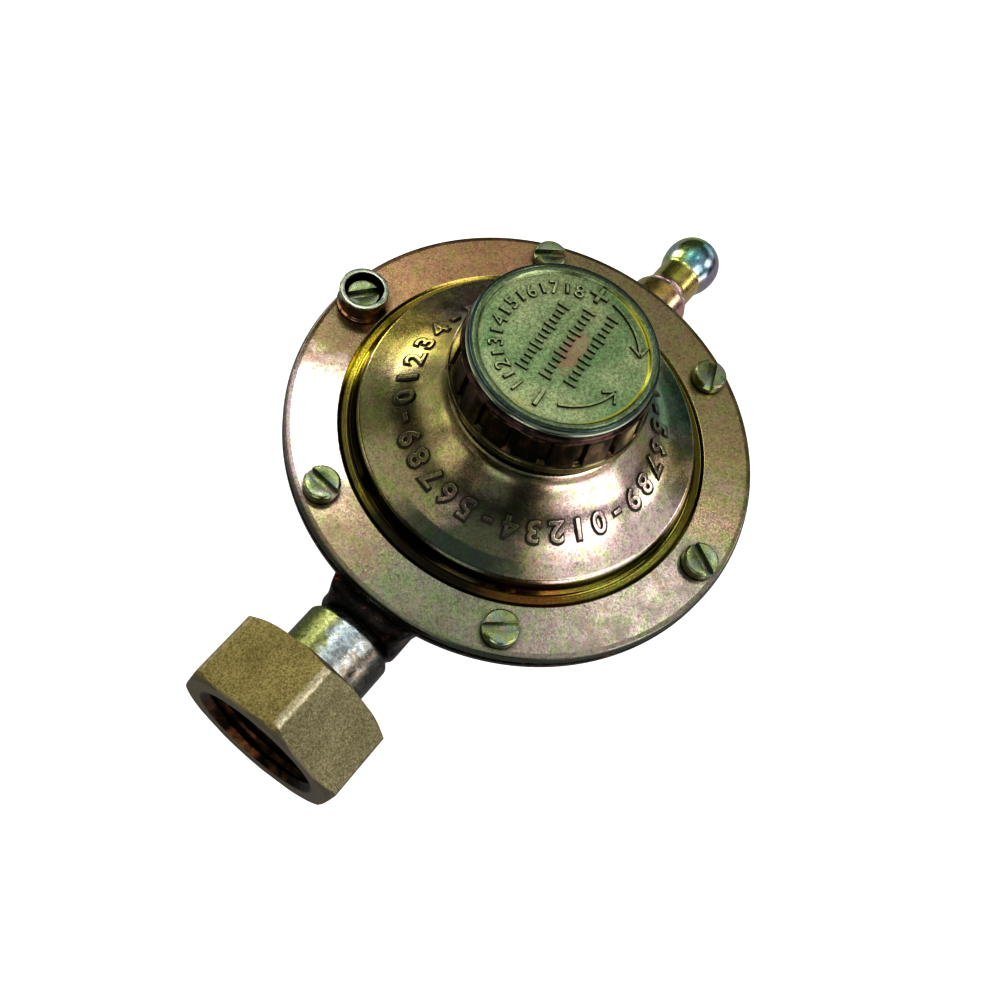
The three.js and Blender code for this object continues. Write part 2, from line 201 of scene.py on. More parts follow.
def turned(profile, segments=128, closed=True, warp=None, angles=None):
    """A profile of (radius, height) turned about Z, as a bmesh in millimetres. warp moves its points."""
    if angles is None:
        angles = np.arange(segments) * TAU / segments
    points = np.array(profile, float)
    turn, radius = np.meshgrid(angles, points[:, 0], indexing="ij")
    height = np.meshgrid(angles, points[:, 1], indexing="ij")[1]
    if warp:
        radius, height = warp(turn, radius, height)
    bm = bmesh.new()
    rows, columns = len(points), len(angles)
    ends = () if closed else (0, rows - 1)
    axis = {j: bm.verts.new((0, 0, points[j, 1])) for j in ends}
    grid = [[axis.get(j) or bm.verts.new((radius[i, j] * math.cos(turn[i, j]),
                                          radius[i, j] * math.sin(turn[i, j]), height[i, j]))
             for j in range(rows)] for i in range(columns)]
    for i in range(columns):
        left, right = grid[i], grid[(i + 1) % columns]
        for j in range(rows if closed else rows - 1):
            k = (j + 1) % rows
            corners = [left[j], right[j], right[k], left[k]]
            bm.faces.new(list(dict.fromkeys(corners)))
    bmesh.ops.recalc_face_normals(bm, faces=bm.faces)
    return bm


def rod(radius, low, high, segments=40):
    return turned([(0, low), (radius, low), (radius, high), (0, high)], segments, closed=False)


def block(low, high):
    bm = bmesh.new()
    size = Vector(high) - Vector(low)
    centre = (Vector(high) + Vector(low)) / 2
    bmesh.ops.create_cube(bm, size=1, matrix=Matrix.Translation(centre) @ Matrix.Diagonal((*size, 1)))
    return bm


def skin(bm, rings):
    """Joins rings of points, each to the next, and closes both ends."""
    for a, b in zip(rings, rings[1:]):
        for k in range(len(a)):
            after = (k + 1) % len(a)
            bm.faces.new([a[k], a[after], b[after], b[k]])
    bm.faces.new(rings[0])
    bm.faces.new(rings[-1][::-1])
    bmesh.ops.recalc_face_normals(bm, faces=bm.faces)
    return bm


def placed(bm, *matrices):
    """Applies the matrices to a bmesh, the first one first."""
    for matrix in matrices:
        bmesh.ops.transform(bm, matrix=matrix, verts=bm.verts)
    return bm


def turn_z(degrees):
    return Matrix.Rotation(math.radians(degrees), 4, "Z")


def shift(x, y, z):
    return Matrix.Translation((x, y, z))


def polar(radius, degrees, z=0):
    """A point at a bearing from the axis, in degrees from +X."""
    turn = math.radians(degrees)
    return Vector((radius * math.cos(turn), radius * math.sin(turn), z))


ALONG_INLET = shift(0, 0, INLET_HEIGHT) @ Matrix.Rotation(math.pi / 2, 4, "X")
ALONG_OUTLET = shift(0, 0, OUTLET_HEIGHT) @ Matrix.Rotation(-math.pi / 2, 4, "X")


def at_screw(k):
    return turn_z(60 * k) @ shift(SCREW_CIRCLE, 0, 0)


def put(name, data):
    """A new object in the scene that shows the data."""
    obj = bpy.data.objects.new(name, data)
    bpy.context.scene.collection.objects.link(obj)
    return obj


def made(name, bm, sharp=35):
    """A mesh object from a bmesh in millimetres, shaded smooth with sharp edges above an angle."""
    mesh = bpy.data.meshes.new(name)
    placed(bm, TO_METRES).to_mesh(mesh)
    bm.free()
    obj = put(name, mesh)
    smoothed(obj, sharp)
    return obj


def smoothed(obj, sharp=35):
    mesh = obj.data
    mesh.polygons.foreach_set("use_smooth", [True] * len(mesh.polygons))
    mesh.set_sharp_from_angle(angle=math.radians(sharp))


def bake_modifiers(obj):
    """Makes the shape that the object's modifiers give its own mesh."""
    graph = bpy.context.evaluated_depsgraph_get()
    mesh = bpy.data.meshes.new_from_object(obj.evaluated_get(graph))
    obj.modifiers.clear()
    obj.data = mesh


def combined(obj, tools, operation):
    """Cuts or joins every tool, each a bmesh in millimetres, in one exact boolean per tool."""
    for bm in tools:
        tool = made("tool", bm)
        step = obj.modifiers.new("combine", "BOOLEAN")
        step.operation = operation
        step.solver = "EXACT"
        step.object = tool
        bake_modifiers(obj)
        bpy.data.objects.remove(tool)


def bevelled(obj, width, angle):
    """Rounds the edges that are sharper than an angle."""
    step = obj.modifiers.new("bevel", "BEVEL")
    step.width = width * MM
    step.segments = 2
    step.limit_method = "ANGLE"
    step.angle_limit = math.radians(angle)
    bake_modifiers(obj)


def joined_bmesh(parts):
    """One bmesh that holds all the parts."""
    whole = bmesh.new()
    for bm in parts:
        mesh = bpy.data.meshes.new("part")
        bm.to_mesh(mesh)
        bm.free()
        whole.from_mesh(mesh)
        bpy.data.meshes.remove(mesh)
    return whole


def screw_holes(low, high, segments):
    return joined_bmesh([placed(rod(SCREW_HOLE, low, high, segments), at_screw(k))
                         for k in range(SCREW_COUNT)])


def finish_piece(obj, body, slot, nodes, *materials):
    """Gives a piece its materials and its body, and hides the CAD nodes that it stands for. slot is not used.
    """
    for material in materials:
        obj.data.materials.append(MATERIALS[material])
    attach(obj, body)
    if nodes:
        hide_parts(*nodes)


# ---------------- materials


def set_stops(node, stops):
    """Gives a colour ramp its stops, each a place and a colour, in rising order."""
    elements = node.color_ramp.elements
    while len(elements) < len(stops):
        elements.new(0.5)
    for element, (place, colour) in zip(elements, stops):
        element.position = place
        element.color = (*colour, 1)


class Shader:
    """Short calls for one material's nodes. Places are in millimetres in the piece's own space."""

    def __init__(self, name):
        self.material = bpy.data.materials.new(name)
        self.material.use_nodes = True
        self.tree = self.material.node_tree
        self.shader = self.tree.nodes["Principled BSDF"]
        place = self.tree.nodes.new("ShaderNodeTexCoord").outputs["Object"]
        scale = self.node("ShaderNodeVectorMath", operation="SCALE")
        self.link(place, scale.inputs[0])
        scale.inputs["Scale"].default_value = 1 / MM
        self.place = scale.outputs[0]
        self.slow_noise = None

    def node(self, kind, **settings):
        node = self.tree.nodes.new(kind)
        for key, value in settings.items():
            setattr(node, key, value)
        return node

    def link(self, source, target):
        self.tree.links.new(source, target)

    def feed(self, socket, value):
        if isinstance(value, bpy.types.NodeSocket):
            self.link(value, socket)
        else:
            socket.default_value = value

    def noise(self, scale, detail=3, rough=0.55, distortion=0.0, stretch=None, seed=0.0):
        """Noise with so many features per millimetre."""
        node = self.node("ShaderNodeTexNoise", noise_dimensions="4D")
        place = self.place
        if stretch:
            mapping = self.node("ShaderNodeMapping")
            mapping.inputs["Scale"].default_value = stretch
            self.link(place, mapping.inputs["Vector"])
            place = mapping.outputs[0]
        self.link(place, node.inputs["Vector"])
        node.inputs["W"].default_value = seed
        node.inputs["Scale"].default_value = scale
        node.inputs["Detail"].default_value = detail
        node.inputs["Roughness"].default_value = rough
        node.inputs["Distortion"].default_value = distortion
        return node.outputs["Fac"]

    def math(self, operation, a, b=0.0, c=0.0):
        node = self.node("ShaderNodeMath", operation=operation)
        for socket, value in zip(node.inputs, (a, b, c)):
            self.feed(socket, value)
        return node.outputs[0]

    def times(self, a, b):
        return self.math("MULTIPLY", a, b)

    def plus(self, a, b):
        return self.math("ADD", a, b)

    def minus(self, a, b):
        return self.math("SUBTRACT", a, b)

    def length(self, x, y):
        return self.math("SQRT", self.plus(self.times(x, x), self.times(y, y)))

    def ranged(self, value, low, high, to_low=0.0, to_high=1.0):
        """A smooth step from one range to another."""
        node = self.node("ShaderNodeMapRange", interpolation_type="SMOOTHSTEP")
        for key, given in (("Value", value), ("From Min", low), ("From Max", high),
                           ("To Min", to_low), ("To Max", to_high)):
            self.feed(node.inputs[key], given)
        return node.outputs[0]

    def gloss(self, noise, smooth, rough):
        """A roughness that follows a noise."""
        return self.ranged(noise, 0.3, 0.7, smooth, rough)

    def ramp(self, value, *stops):
        node = self.node("ShaderNodeValToRGB")
        set_stops(node, stops)
        self.link(value, node.inputs["Fac"])
        return node.outputs["Color"]

    def mix(self, factor, a, b, blend="MIX"):
        node = self.node("ShaderNodeMix", data_type="RGBA", blend_type=blend)
        self.feed(node.inputs["Factor"], factor)
        for key, value in (("A", a), ("B", b)):
            socket = [s for s in node.inputs if s.name == key and s.type == "RGBA"][0]
            self.feed(socket, (*value, 1) if isinstance(value, tuple) else value)
        return [s for s in node.outputs if s.type == "RGBA"][0]

    def axis(self, name):
        """One coordinate of the place, in millimetres."""
        node = self.node("ShaderNodeSeparateXYZ")
        self.link(self.place, node.inputs[0])
        return node.outputs[name]

    def radius(self):
        """Distance from the knob's axis, in millimetres."""
        return self.length(self.axis("X"), self.axis("Y"))

    def along_line(self, x, y):
        """How far along a direction seen from above, in millimetres."""
        return self.plus(self.times(self.axis("X"), x), self.times(self.axis("Y"), y))

    def sandy(self, colour, scale, low, high, depth, seed=41):
        """Dark grains over a colour."""
        grain = self.ranged(self.noise(scale, 4, 0.85, seed=seed), high, low)
        return self.mix(self.times(grain, depth), colour, self.mix(0.85, colour, (0.03, 0.028, 0.012)))

    def patch(self, colour, tint, amount, bearing, reach, soft, band):
        """Tints the surface near a bearing, in degrees, and between two radii, with ragged edges."""
        radius = self.radius()
        toward = math.radians(bearing)
        cosine = self.math("DIVIDE", self.along_line(math.cos(toward), math.sin(toward)), radius)
        away = self.math("DEGREES", self.math("ARCCOSINE", cosine))
        ragged = self.plus(away, self.times(self.minus(self.cloud(), 0.5), 26))
        near = self.ranged(ragged, reach + soft, reach - soft)
        low, high = band
        inside = self.times(self.ranged(radius, low - 0.2, low + 0.2),
                            self.ranged(radius, high + 0.2, high - 0.2))
        return self.mix(self.times(self.times(near, inside), amount), colour, tint)

    def cloud(self):
        """One slow noise shared by all the patches."""
        if self.slow_noise is None:
            self.slow_noise = self.noise(0.28, 5, 0.72, seed=37)
        return self.slow_noise

    def bump(self, height, distance, strength):
        node = self.node("ShaderNodeBump")
        node.inputs["Strength"].default_value = strength
        node.inputs["Distance"].default_value = distance * MM
        self.link(height, node.inputs["Height"])
        return node.outputs["Normal"]

    def occlusion_shade(self, colour, reach, amount=0.8, dark=(0.02, 0.016, 0.008)):
        """Painted shade: darkens the colour in corners and crevices narrower than reach, in millimetres, as
        ambient occlusion finds them.
        """
        node = self.node("ShaderNodeAmbientOcclusion", samples=4)
        node.inputs["Distance"].default_value = reach * MM
        closed = self.ranged(node.outputs["AO"], 0.95, 0.35)
        return self.mix(self.times(closed, amount), colour, dark)

    def set(self, **values):
        """Sets the shader's sockets. A socket name's spaces are written as underscores."""
        for key, value in values.items():
            socket = self.shader.inputs[key.replace("_", " ")]
            if isinstance(value, tuple) and len(value) == 3:
                value = (*value, 1)
            self.feed(socket, value)
        return self.material


def passivated(name, hues, grain_dark=0.72, rough=(0.19, 0.32), grain=0.016, seed=0.0):
    """Yellow-passivated zinc: hues drift over the surface and a sandy grain breaks up the gloss."""
    s = Shader(name)
    drift = s.noise(0.085, 4, 0.62, 0.6, seed=seed)
    hue = s.ramp(drift, *hues)
    blotch = s.ranged(s.noise(0.45, 5, 0.7, 0.4, seed=seed + 3), 0.42, 0.68)
    cloudy = s.mix(s.times(blotch, 0.45), hue, s.mix(0.5, hue, (0.50, 0.56, 0.30)))
    speck = s.ranged(s.noise(3.6, 3, 0.8, seed=seed + 5), 0.46, 0.60)
    grainy = s.mix(s.times(speck, grain_dark), cloudy, s.mix(0.75, cloudy, (0.07, 0.06, 0.02)))
    patina = s.noise(0.25, 5, 0.7, seed=seed + 9)
    fine = s.noise(5.5, 3, 0.7, seed=seed + 11)
    height = s.plus(s.noise(3.2, 2, 0.6, seed=seed + 7), s.times(fine, 0.5))
    s.set(Metallic=1.0, Roughness=s.gloss(patina, *rough), Normal=s.bump(height, grain, 0.6))
    return s, s.occlusion_shade(grainy, 1.1)


ON_FLANGE, IN_CHANNEL, ON_DOME, ON_DOME_EDGE = (28.9, 40.0), (26.3, 28.9), (0.0, 26.3), (23.6, 26.3)
# Tints by bearing. Most of them paint reflections, highlights and shade, such as the pink-white highlight on
# the flange's left, the gold highlight on the dome and the dark teal on the dome.
COVER_TINTS_AND_PAINTED_LIGHT = (
    # tint, amount, bearing, reach and softness in degrees, band of radii
    ((0.36, 0.31, 0.15), 0.80, 72, 46, 15, ON_FLANGE),
    ((0.60, 0.38, 0.20), 0.85, 150, 28, 12, ON_FLANGE),
    ((0.17, 0.13, 0.07), 0.90, 190, 17, 6, ON_FLANGE),
    ((0.92, 0.76, 0.78), 0.90, 222, 18, 7, ON_FLANGE),
    ((0.24, 0.20, 0.13), 0.85, 257, 14, 7, ON_FLANGE),
    ((0.21, 0.25, 0.18), 0.80, 285, 20, 8, ON_FLANGE),
    ((0.29, 0.28, 0.255), 0.80, 334, 32, 10, ON_FLANGE),
    ((0.10, 0.085, 0.012), 1.0, 0, 200, 10, IN_CHANNEL),
    ((0.50, 0.46, 0.04), 0.85, 192, 12, 6, IN_CHANNEL),
    ((0.36, 0.30, 0.06), 0.80, 158, 16, 8, IN_CHANNEL),
    ((0.030, 0.026, 0.006), 0.95, 226, 19, 6, IN_CHANNEL),
    ((0.008, 0.007, 0.005), 0.95, 271, 25, 7, IN_CHANNEL),
    ((0.17, 0.08, 0.022), 0.85, 309, 12, 7, IN_CHANNEL),
    ((0.13, 0.14, 0.03), 0.80, 345, 22, 10, IN_CHANNEL),
    ((0.78, 0.70, 0.17), 0.80, 184, 14, 8, ON_DOME),
    ((0.12, 0.13, 0.045), 0.80, 219, 13, 7, ON_DOME),
    ((0.40, 0.37, 0.20), 0.70, 248, 14, 8, ON_DOME),
    ((0.055, 0.08, 0.055), 0.85, 288, 16, 7, ON_DOME),
    ((0.82, 0.72, 0.68), 0.85, 341, 29, 9, ON_DOME),
    ((0.045, 0.15, 0.11), 0.85, 50, 16, 9, ON_DOME),
    ((0.030, 0.055, 0.045), 0.85, 278, 20, 8, ON_DOME_EDGE),
)


def cover_material():
    """The cover's colour, with reflections, highlights and shade painted in by bearing: pink and white on the
    left, brown at the back, green and mauve to the front.
    """
    hues = ((0.30, (0.60, 0.42, 0.37)), (0.44, (0.54, 0.45, 0.27)), (0.52, (0.42, 0.42, 0.22)),
            (0.60, (0.60, 0.47, 0.42)), (0.72, (0.36, 0.43, 0.27)))
    s, colour = passivated("passivated_cover", hues)
    for patch in COVER_TINTS_AND_PAINTED_LIGHT:
        colour = s.patch(colour, *patch)
    bloom = s.ramp(s.noise(0.55, 5, 0.75, 0.5, seed=43), (0.36, (0.70, 0.90, 0.42)), (0.46, (1.0, 1.0, 0.74)),
                   (0.54, (1.0, 0.80, 0.90)), (0.66, (0.95, 0.74, 0.42)))
    colour = s.mix(0.75, colour, bloom, "MULTIPLY")
    speckled = s.sandy(s.sandy(colour, 2.3, 0.34, 0.54, 0.6), 4.4, 0.38, 0.52, 0.5, 42)
    radius = s.radius()
    channel = s.times(s.ranged(radius, 26.0, 26.5), s.ranged(radius, 29.3, 28.8))
    # Painted shade: the flange's outer edge is darkened to a dark teal, standing in for its dark reflection.
    rim = s.ranged(radius, 36.2, 36.8)
    with_painted_edge = s.mix(s.times(rim, 0.85), speckled, (0.045, 0.06, 0.045))
    s.set(Base_Color=s.occlusion_shade(with_painted_edge, 0.9))
    gloss = s.mix(channel, s.shader.inputs["Roughness"].links[0].from_socket, (0.13, 0.13, 0.13))
    s.set(Roughness=gloss)
    return s.material


def recess_shade_material():
    """Painted shade, with some dark patina, on the steep sides and sunk feet of raised marks."""
    s = Shader("patina_and_painted_shade")
    tone = s.ramp(s.noise(1.5, 4, 0.7), (0.35, (0.006, 0.005, 0.003)), (0.7, (0.035, 0.026, 0.012)))
    return s.set(Base_Color=tone, Metallic=0.4, Roughness=0.55,
                 Normal=s.bump(s.noise(5.0, 3, 0.6), 0.01, 0.5))


def knob_top_material():
    """Sage-green grainy finish of the knob's top, with a coppery patch where it is rubbed."""
    hues = ((0.30, (0.18, 0.37, 0.16)), (0.46, (0.34, 0.48, 0.22)), (0.58, (0.50, 0.60, 0.30)),
            (0.72, (0.58, 0.58, 0.18)))
    s, colour = passivated("passivated_knob_top", hues, 0.6, (0.26, 0.40), 0.014, seed=20)
    direction = math.radians(KNOB_TEXT_TURN)
    across = s.along_line(math.sin(direction), -math.cos(direction))
    along = s.along_line(math.cos(direction), math.sin(direction))
    u = s.math("DIVIDE", s.minus(across, 1.4), 1.9)
    v = s.math("DIVIDE", along, 4.6)
    spot = s.plus(s.times(u, u), s.times(v, v))
    ragged = s.plus(spot, s.times(s.minus(s.noise(0.9, 5, 0.75), 0.5), 4.5))
    worn = s.ranged(ragged, 1.0, 0.1)
    rubbed = s.mix(s.times(worn, 0.65), s.sandy(colour, 2.0, 0.38, 0.60, 0.6, 22), (0.42, 0.22, 0.15))
    # Painted highlight: a thin yellow line along the floor's edge, towards bearing 20 degrees.
    with_painted_edge = s.patch(rubbed, (0.60, 0.56, 0.06), 0.85, 20, 62, 20, (11.75, 12.4))
    return s.set(Base_Color=s.occlusion_shade(with_painted_edge, 0.7))


def knob_rim_material():
    """Blue-grey ring, pale beads and a dark bronze side, told apart by height. The side is kept near black as
    painted shade for the dark reflections of its steep faces, and the beads are pale to brighten their
    highlights.
    """
    s = Shader("passivated_knob_side")
    height = s.axis("Z")
    streak = s.noise(0.7, 5, 0.7, stretch=(1, 1, 0.35), seed=3)
    # Painted shade: the ribbed side's streaked bronze is kept near black.
    bronze = s.ramp(streak, (0.34, (0.008, 0.009, 0.006)), (0.52, (0.040, 0.032, 0.016)),
                    (0.70, (0.20, 0.10, 0.05)))
    band = s.ramp(s.noise(0.5, 4, 0.6, seed=5), (0.42, (0.015, 0.012, 0.010)), (0.68, (0.10, 0.05, 0.045)))
    ring = s.ramp(s.noise(0.8, 5, 0.7, seed=8), (0.35, (0.022, 0.036, 0.038)), (0.55, (0.05, 0.075, 0.055)),
                  (0.70, (0.08, 0.115, 0.125)))
    lip = s.ramp(s.noise(0.5, 4, 0.6, seed=12), (0.35, (0.12, 0.11, 0.05)), (0.65, (0.32, 0.30, 0.13)))
    lower = s.mix(s.ranged(height, KNOB_BOTTOM + 1.6, KNOB_BOTTOM + 1.3), bronze, lip)
    middle = s.mix(s.ranged(height, KNOB_TOP - 2.7, KNOB_TOP - 2.3), lower, band)
    # Painted highlight: the beads get a pale colour that brightens their highlights.
    beads = s.mix(s.ranged(height, KNOB_TOP - 1.5, KNOB_TOP - 1.3), middle, (0.24, 0.30, 0.22))
    sage = s.sandy(s.mix(s.noise(0.8, 4), (0.12, 0.19, 0.11), (0.32, 0.40, 0.20)), 2.0, 0.40, 0.60, 0.6)
    crown = s.mix(s.ranged(s.radius(), 12.95, 13.1), sage, ring)
    upper = s.mix(s.ranged(height, KNOB_TOP - 0.3, KNOB_TOP - 0.15), beads, crown)
    speck = s.noise(4.0, 3, 0.7, seed=4)
    return s.set(Base_Color=s.occlusion_shade(upper, 0.5), Metallic=1.0,
                 Roughness=s.gloss(s.noise(0.4, 4), 0.13, 0.24), Normal=s.bump(speck, 0.006, 0.4))


def brass_material():
    """Sand-textured olive brass, painted lit on the -X side of the top ridge and shaded on the +X side, with
    smoother ridges that are paler from wear and from a painted highlight on the top one.
    """
    s = Shader("sand_cast_brass")
    # Painted light and shade: flats on the -X side of the top ridge get the lit tone below, those on the +X
    # side the shaded one.
    bright = s.ramp(s.noise(0.16, 4, 0.6), (0.35, (0.25, 0.20, 0.065)), (0.65, (0.37, 0.30, 0.105)))
    shaded_flat_tone = s.ramp(s.noise(0.16, 4, 0.6, seed=4), (0.35, (0.15, 0.14, 0.075)), (0.65, (0.22, 0.20, 0.11)))
    ridge_x = NUT_RIDGE_RADIUS * math.cos(math.radians(NUT_RIDGE_ANGLE))
    x, up = s.axis("X"), s.minus(s.axis("Z"), INLET_HEIGHT)
    tone = s.mix(s.ranged(x, ridge_x - 0.3, ridge_x + 0.5), bright, shaded_flat_tone)
    sand = s.noise(3.8, 4, 0.85, seed=2)
    dark = s.ranged(sand, 0.54, 0.40)
    pale = s.ranged(sand, 0.54, 0.66)
    grainy = s.mix(s.times(dark, 0.75), tone, (0.055, 0.045, 0.018))
    grainy = s.mix(s.times(pale, 0.35), grainy, (0.62, 0.54, 0.26))
    off_axis = s.length(x, up)
    rubbed = s.ranged(s.plus(off_axis, s.times(s.noise(0.9, 4, 0.7), 0.5)), 14.25, 14.5)
    # Painted highlight: the worn ridges are palest on the top one.
    upper = s.times(s.ranged(up, 8, 12), s.ranged(x, -4, 0))
    rubbed = s.times(rubbed, s.ranged(upper, 0, 1, 0.3, 0.85))
    worn = s.mix(s.times(rubbed, s.ranged(sand, 0.40, 0.56, 0.35, 1.0)), grainy, (0.58, 0.53, 0.36))
    front = s.ranged(s.axis("Y"), -NUT_FRONT + 0.55, -NUT_FRONT + 0.15)
    faced = s.mix(s.times(front, 0.85), worn, (0.13, 0.11, 0.07))
    height = s.plus(sand, s.times(s.noise(6.0, 3, 0.7), 0.4))
    return s.set(Base_Color=s.occlusion_shade(faced, 0.8), Metallic=0.9, Roughness=s.ranged(rubbed, 0, 1, 0.50, 0.34),
                 Normal=s.bump(height, 0.04, 0.8))


def thread_material():
    s = Shader("brass_thread")
    # Painted shade: the thread inside the nut is kept near black, with orange-brown flecks.
    tone = s.ramp(s.noise(0.5, 4, 0.6), (0.45, (0.010, 0.007, 0.004)), (0.66, (0.13, 0.055, 0.02)))
    return s.set(Base_Color=s.occlusion_shade(tone, 3.0, 0.9), Metallic=1.0, Roughness=0.35,
                 Normal=s.bump(s.noise(4.0, 3, 0.6), 0.008, 0.5))


def screw_material():
    """Zinc with green and copper patches."""
    s = Shader("passivated_screw")
    tone = s.ramp(s.noise(0.42, 4, 0.6, 0.5), (0.34, (0.10, 0.17, 0.10)), (0.46, (0.30, 0.34, 0.12)),
                  (0.56, (0.22, 0.30, 0.24)), (0.66, (0.48, 0.28, 0.15)), (0.76, (0.50, 0.48, 0.24)))
    speck = s.ranged(s.noise(3.2, 4, 0.75, seed=1), 0.38, 0.66)
    grainy = s.mix(s.times(speck, 0.4), tone, (0.06, 0.06, 0.03))
    return s.set(Base_Color=s.occlusion_shade(grainy, 1.0), Metallic=1.0,
                 Roughness=s.gloss(s.noise(0.6, 4, seed=2), 0.20, 0.40),
                 Normal=s.bump(s.plus(speck, s.noise(6.0, 3, 0.7)), 0.01, 0.45))


def stub_material():
    """Galvanised stub with light and shade painted across it: yellow-green on one side, a blue-white painted
    highlight on top and painted shade on the other side.
    """
    s = Shader("galvanised_stub")
    drift = s.minus(s.noise(0.35, 5, 0.7, 0.4), 0.5)
    streak = s.minus(s.noise(1.4, 4, 0.7, stretch=(0.5, 2.0, 0.5), seed=3), 0.5)
    wander = s.plus(s.times(drift, 0.75), s.times(streak, 0.35))
    # Painted highlight and shade: the colour runs across X, from the yellow-green side over the blue-white
    # highlight to the shaded side.
    across = s.plus(s.math("MULTIPLY_ADD", s.axis("X"), 0.5 / STUB_RADIUS, 0.5), wander)
    tone = s.ramp(across, (0.10, (0.16, 0.20, 0.05)), (0.34, (0.36, 0.38, 0.14)), (0.50, (0.60, 0.70, 0.72)),
                  (0.64, (0.34, 0.38, 0.37)), (0.78, (0.20, 0.17, 0.13)), (0.92, (0.07, 0.075, 0.07)))
    rough = s.ranged(s.noise(0.9, 5, 0.7, seed=5), 0.35, 0.65, 0.16, 0.38)
    return s.set(Base_Color=s.occlusion_shade(s.sandy(tone, 1.8, 0.38, 0.58, 0.6), 1.2), Metallic=1.0, Roughness=rough,
                 Normal=s.bump(s.noise(2.0, 4, 0.7, seed=6), 0.03, 0.6))


def nozzle_material():
    """Iridescent zinc: teal and yellow-green on the bead, yellow barrel, pink shoulder, orange shank. Across
    X the colours also paint a highlight band and a dark teal shaded band on the bead.
    """
    s = Shader("iridescent_nozzle")
    drift = s.times(s.minus(s.noise(0.3, 4, 0.6, 0.5), 0.5), 0.9)
    # Painted light and shade, mixed with iridescent tints: the colours run across X, with a yellow-green
    # highlight band and a dark teal shaded band on the bead.
    across = s.plus(s.math("MULTIPLY_ADD", s.axis("X"), 0.1, 0.5), drift)
    bead = s.ramp(across, (0.05, (0.30, 0.36, 0.34)), (0.28, (0.46, 0.58, 0.10)), (0.42, (0.30, 0.52, 0.28)),
                  (0.60, (0.07, 0.24, 0.26)), (0.78, (0.26, 0.36, 0.42)), (0.95, (0.40, 0.30, 0.38)))
    barrel = s.ramp(across, (0.20, (0.36, 0.38, 0.10)), (0.50, (0.62, 0.60, 0.12)),
                    (0.80, (0.60, 0.46, 0.16)))
    shank = s.ramp(across, (0.25, (0.40, 0.34, 0.10)), (0.50, (0.72, 0.50, 0.14)), (0.75, (0.60, 0.36, 0.30)))
    along = s.plus(s.axis("Y"), s.times(drift, 1.2))
    lower = s.mix(s.ranged(along, 45.8, 46.4), shank, (0.62, 0.42, 0.38))
    middle = s.mix(s.ranged(along, 48.3, 48.9), lower, barrel)
    tone = s.mix(s.ranged(along, 52.6, 54.2), middle, bead)
    return s.set(Base_Color=s.occlusion_shade(s.sandy(tone, 1.6, 0.34, 0.54, 0.5), 1.0), Metallic=1.0,
                 Roughness=s.gloss(s.noise(0.6, 4), 0.18, 0.30),
                 Normal=s.bump(s.noise(3.0, 3, 0.7), 0.006, 0.5))


def cup_material():
    """Copper-brown wall and foot with a paler grey-green rim, and a black inside that paints the shade in the
    narrow gap round the screw head.
    """
    s = Shader("passivated_cup")
    top = node_box("seal_cup")[1].z
    wall = s.ramp(s.noise(0.35, 4, 0.6, 0.5), (0.38, (0.05, 0.035, 0.025)), (0.52, (0.22, 0.14, 0.08)),
                  (0.64, (0.50, 0.24, 0.12)), (0.76, (0.34, 0.30, 0.10)))
    rim = s.ramp(s.noise(0.6, 4, 0.6), (0.4, (0.20, 0.24, 0.17)), (0.65, (0.42, 0.44, 0.32)))
    middle = polar(SCREW_CIRCLE, 60 * CUP_SCREW)
    radius = s.length(s.minus(s.axis("X"), middle.x), s.minus(s.axis("Y"), middle.y))
    upper = s.mix(s.ranged(s.axis("Z"), top - 0.7, top - 0.3), wall, rim)
    # Painted shade: the cup's inner wall is black.
    inner = s.mix(s.ranged(radius, 3.1, 3.03), upper, (0.008, 0.008, 0.006))
    return s.set(Base_Color=inner, Metallic=1.0, Roughness=s.gloss(s.noise(0.6, 4), 0.12, 0.3),
                 Normal=s.bump(s.noise(3.5, 3, 0.7), 0.01, 0.5))


def casting_material():
    """Passivated casting painted nearly black as shade under the flange, with red-brown glints painted into
    its colour.
    """
    s = Shader("casting_painted_dark")
    tone = s.ramp(s.noise(0.6, 5, 0.75, 0.4), (0.44, (0.005, 0.005, 0.004)), (0.57, (0.016, 0.011, 0.007)),
                  (0.64, (0.17, 0.05, 0.025)), (0.74, (0.24, 0.18, 0.11)))
    cast = s.noise(1.2, 5, 0.7, seed=6)
    return s.set(Base_Color=tone, Metallic=0.85, Roughness=s.gloss(cast, 0.25, 0.45),
                 Normal=s.bump(cast, 0.12, 0.8))


def plain_metal(name, dark, light, rough=0.35, scale=0.8):
    """Machined inner metal parts: slow tarnish and fine turning marks."""
    s = Shader(name)
    tone = s.ramp(s.noise(scale, 4, 0.6), (0.35, dark), (0.65, light))
    marks = s.noise(2.5, 3, 0.6, stretch=(0.3, 0.3, 4))
    return s.set(Base_Color=tone, Metallic=1.0, Roughness=s.gloss(marks, rough - 0.08, rough + 0.1),
                 Normal=s.bump(marks, 0.006, 0.4))


def rubber_material():
    s = Shader("black_rubber")
    tone = s.ramp(s.noise(0.6, 4, 0.6), (0.35, (0.012, 0.012, 0.012)), (0.65, (0.03, 0.028, 0.026)))
    weave = s.noise(3.0, 3, 0.6)
    return s.set(Base_Color=tone, Metallic=0.0, Roughness=s.gloss(weave, 0.6, 0.8),
                 Normal=s.bump(weave, 0.03, 0.5))


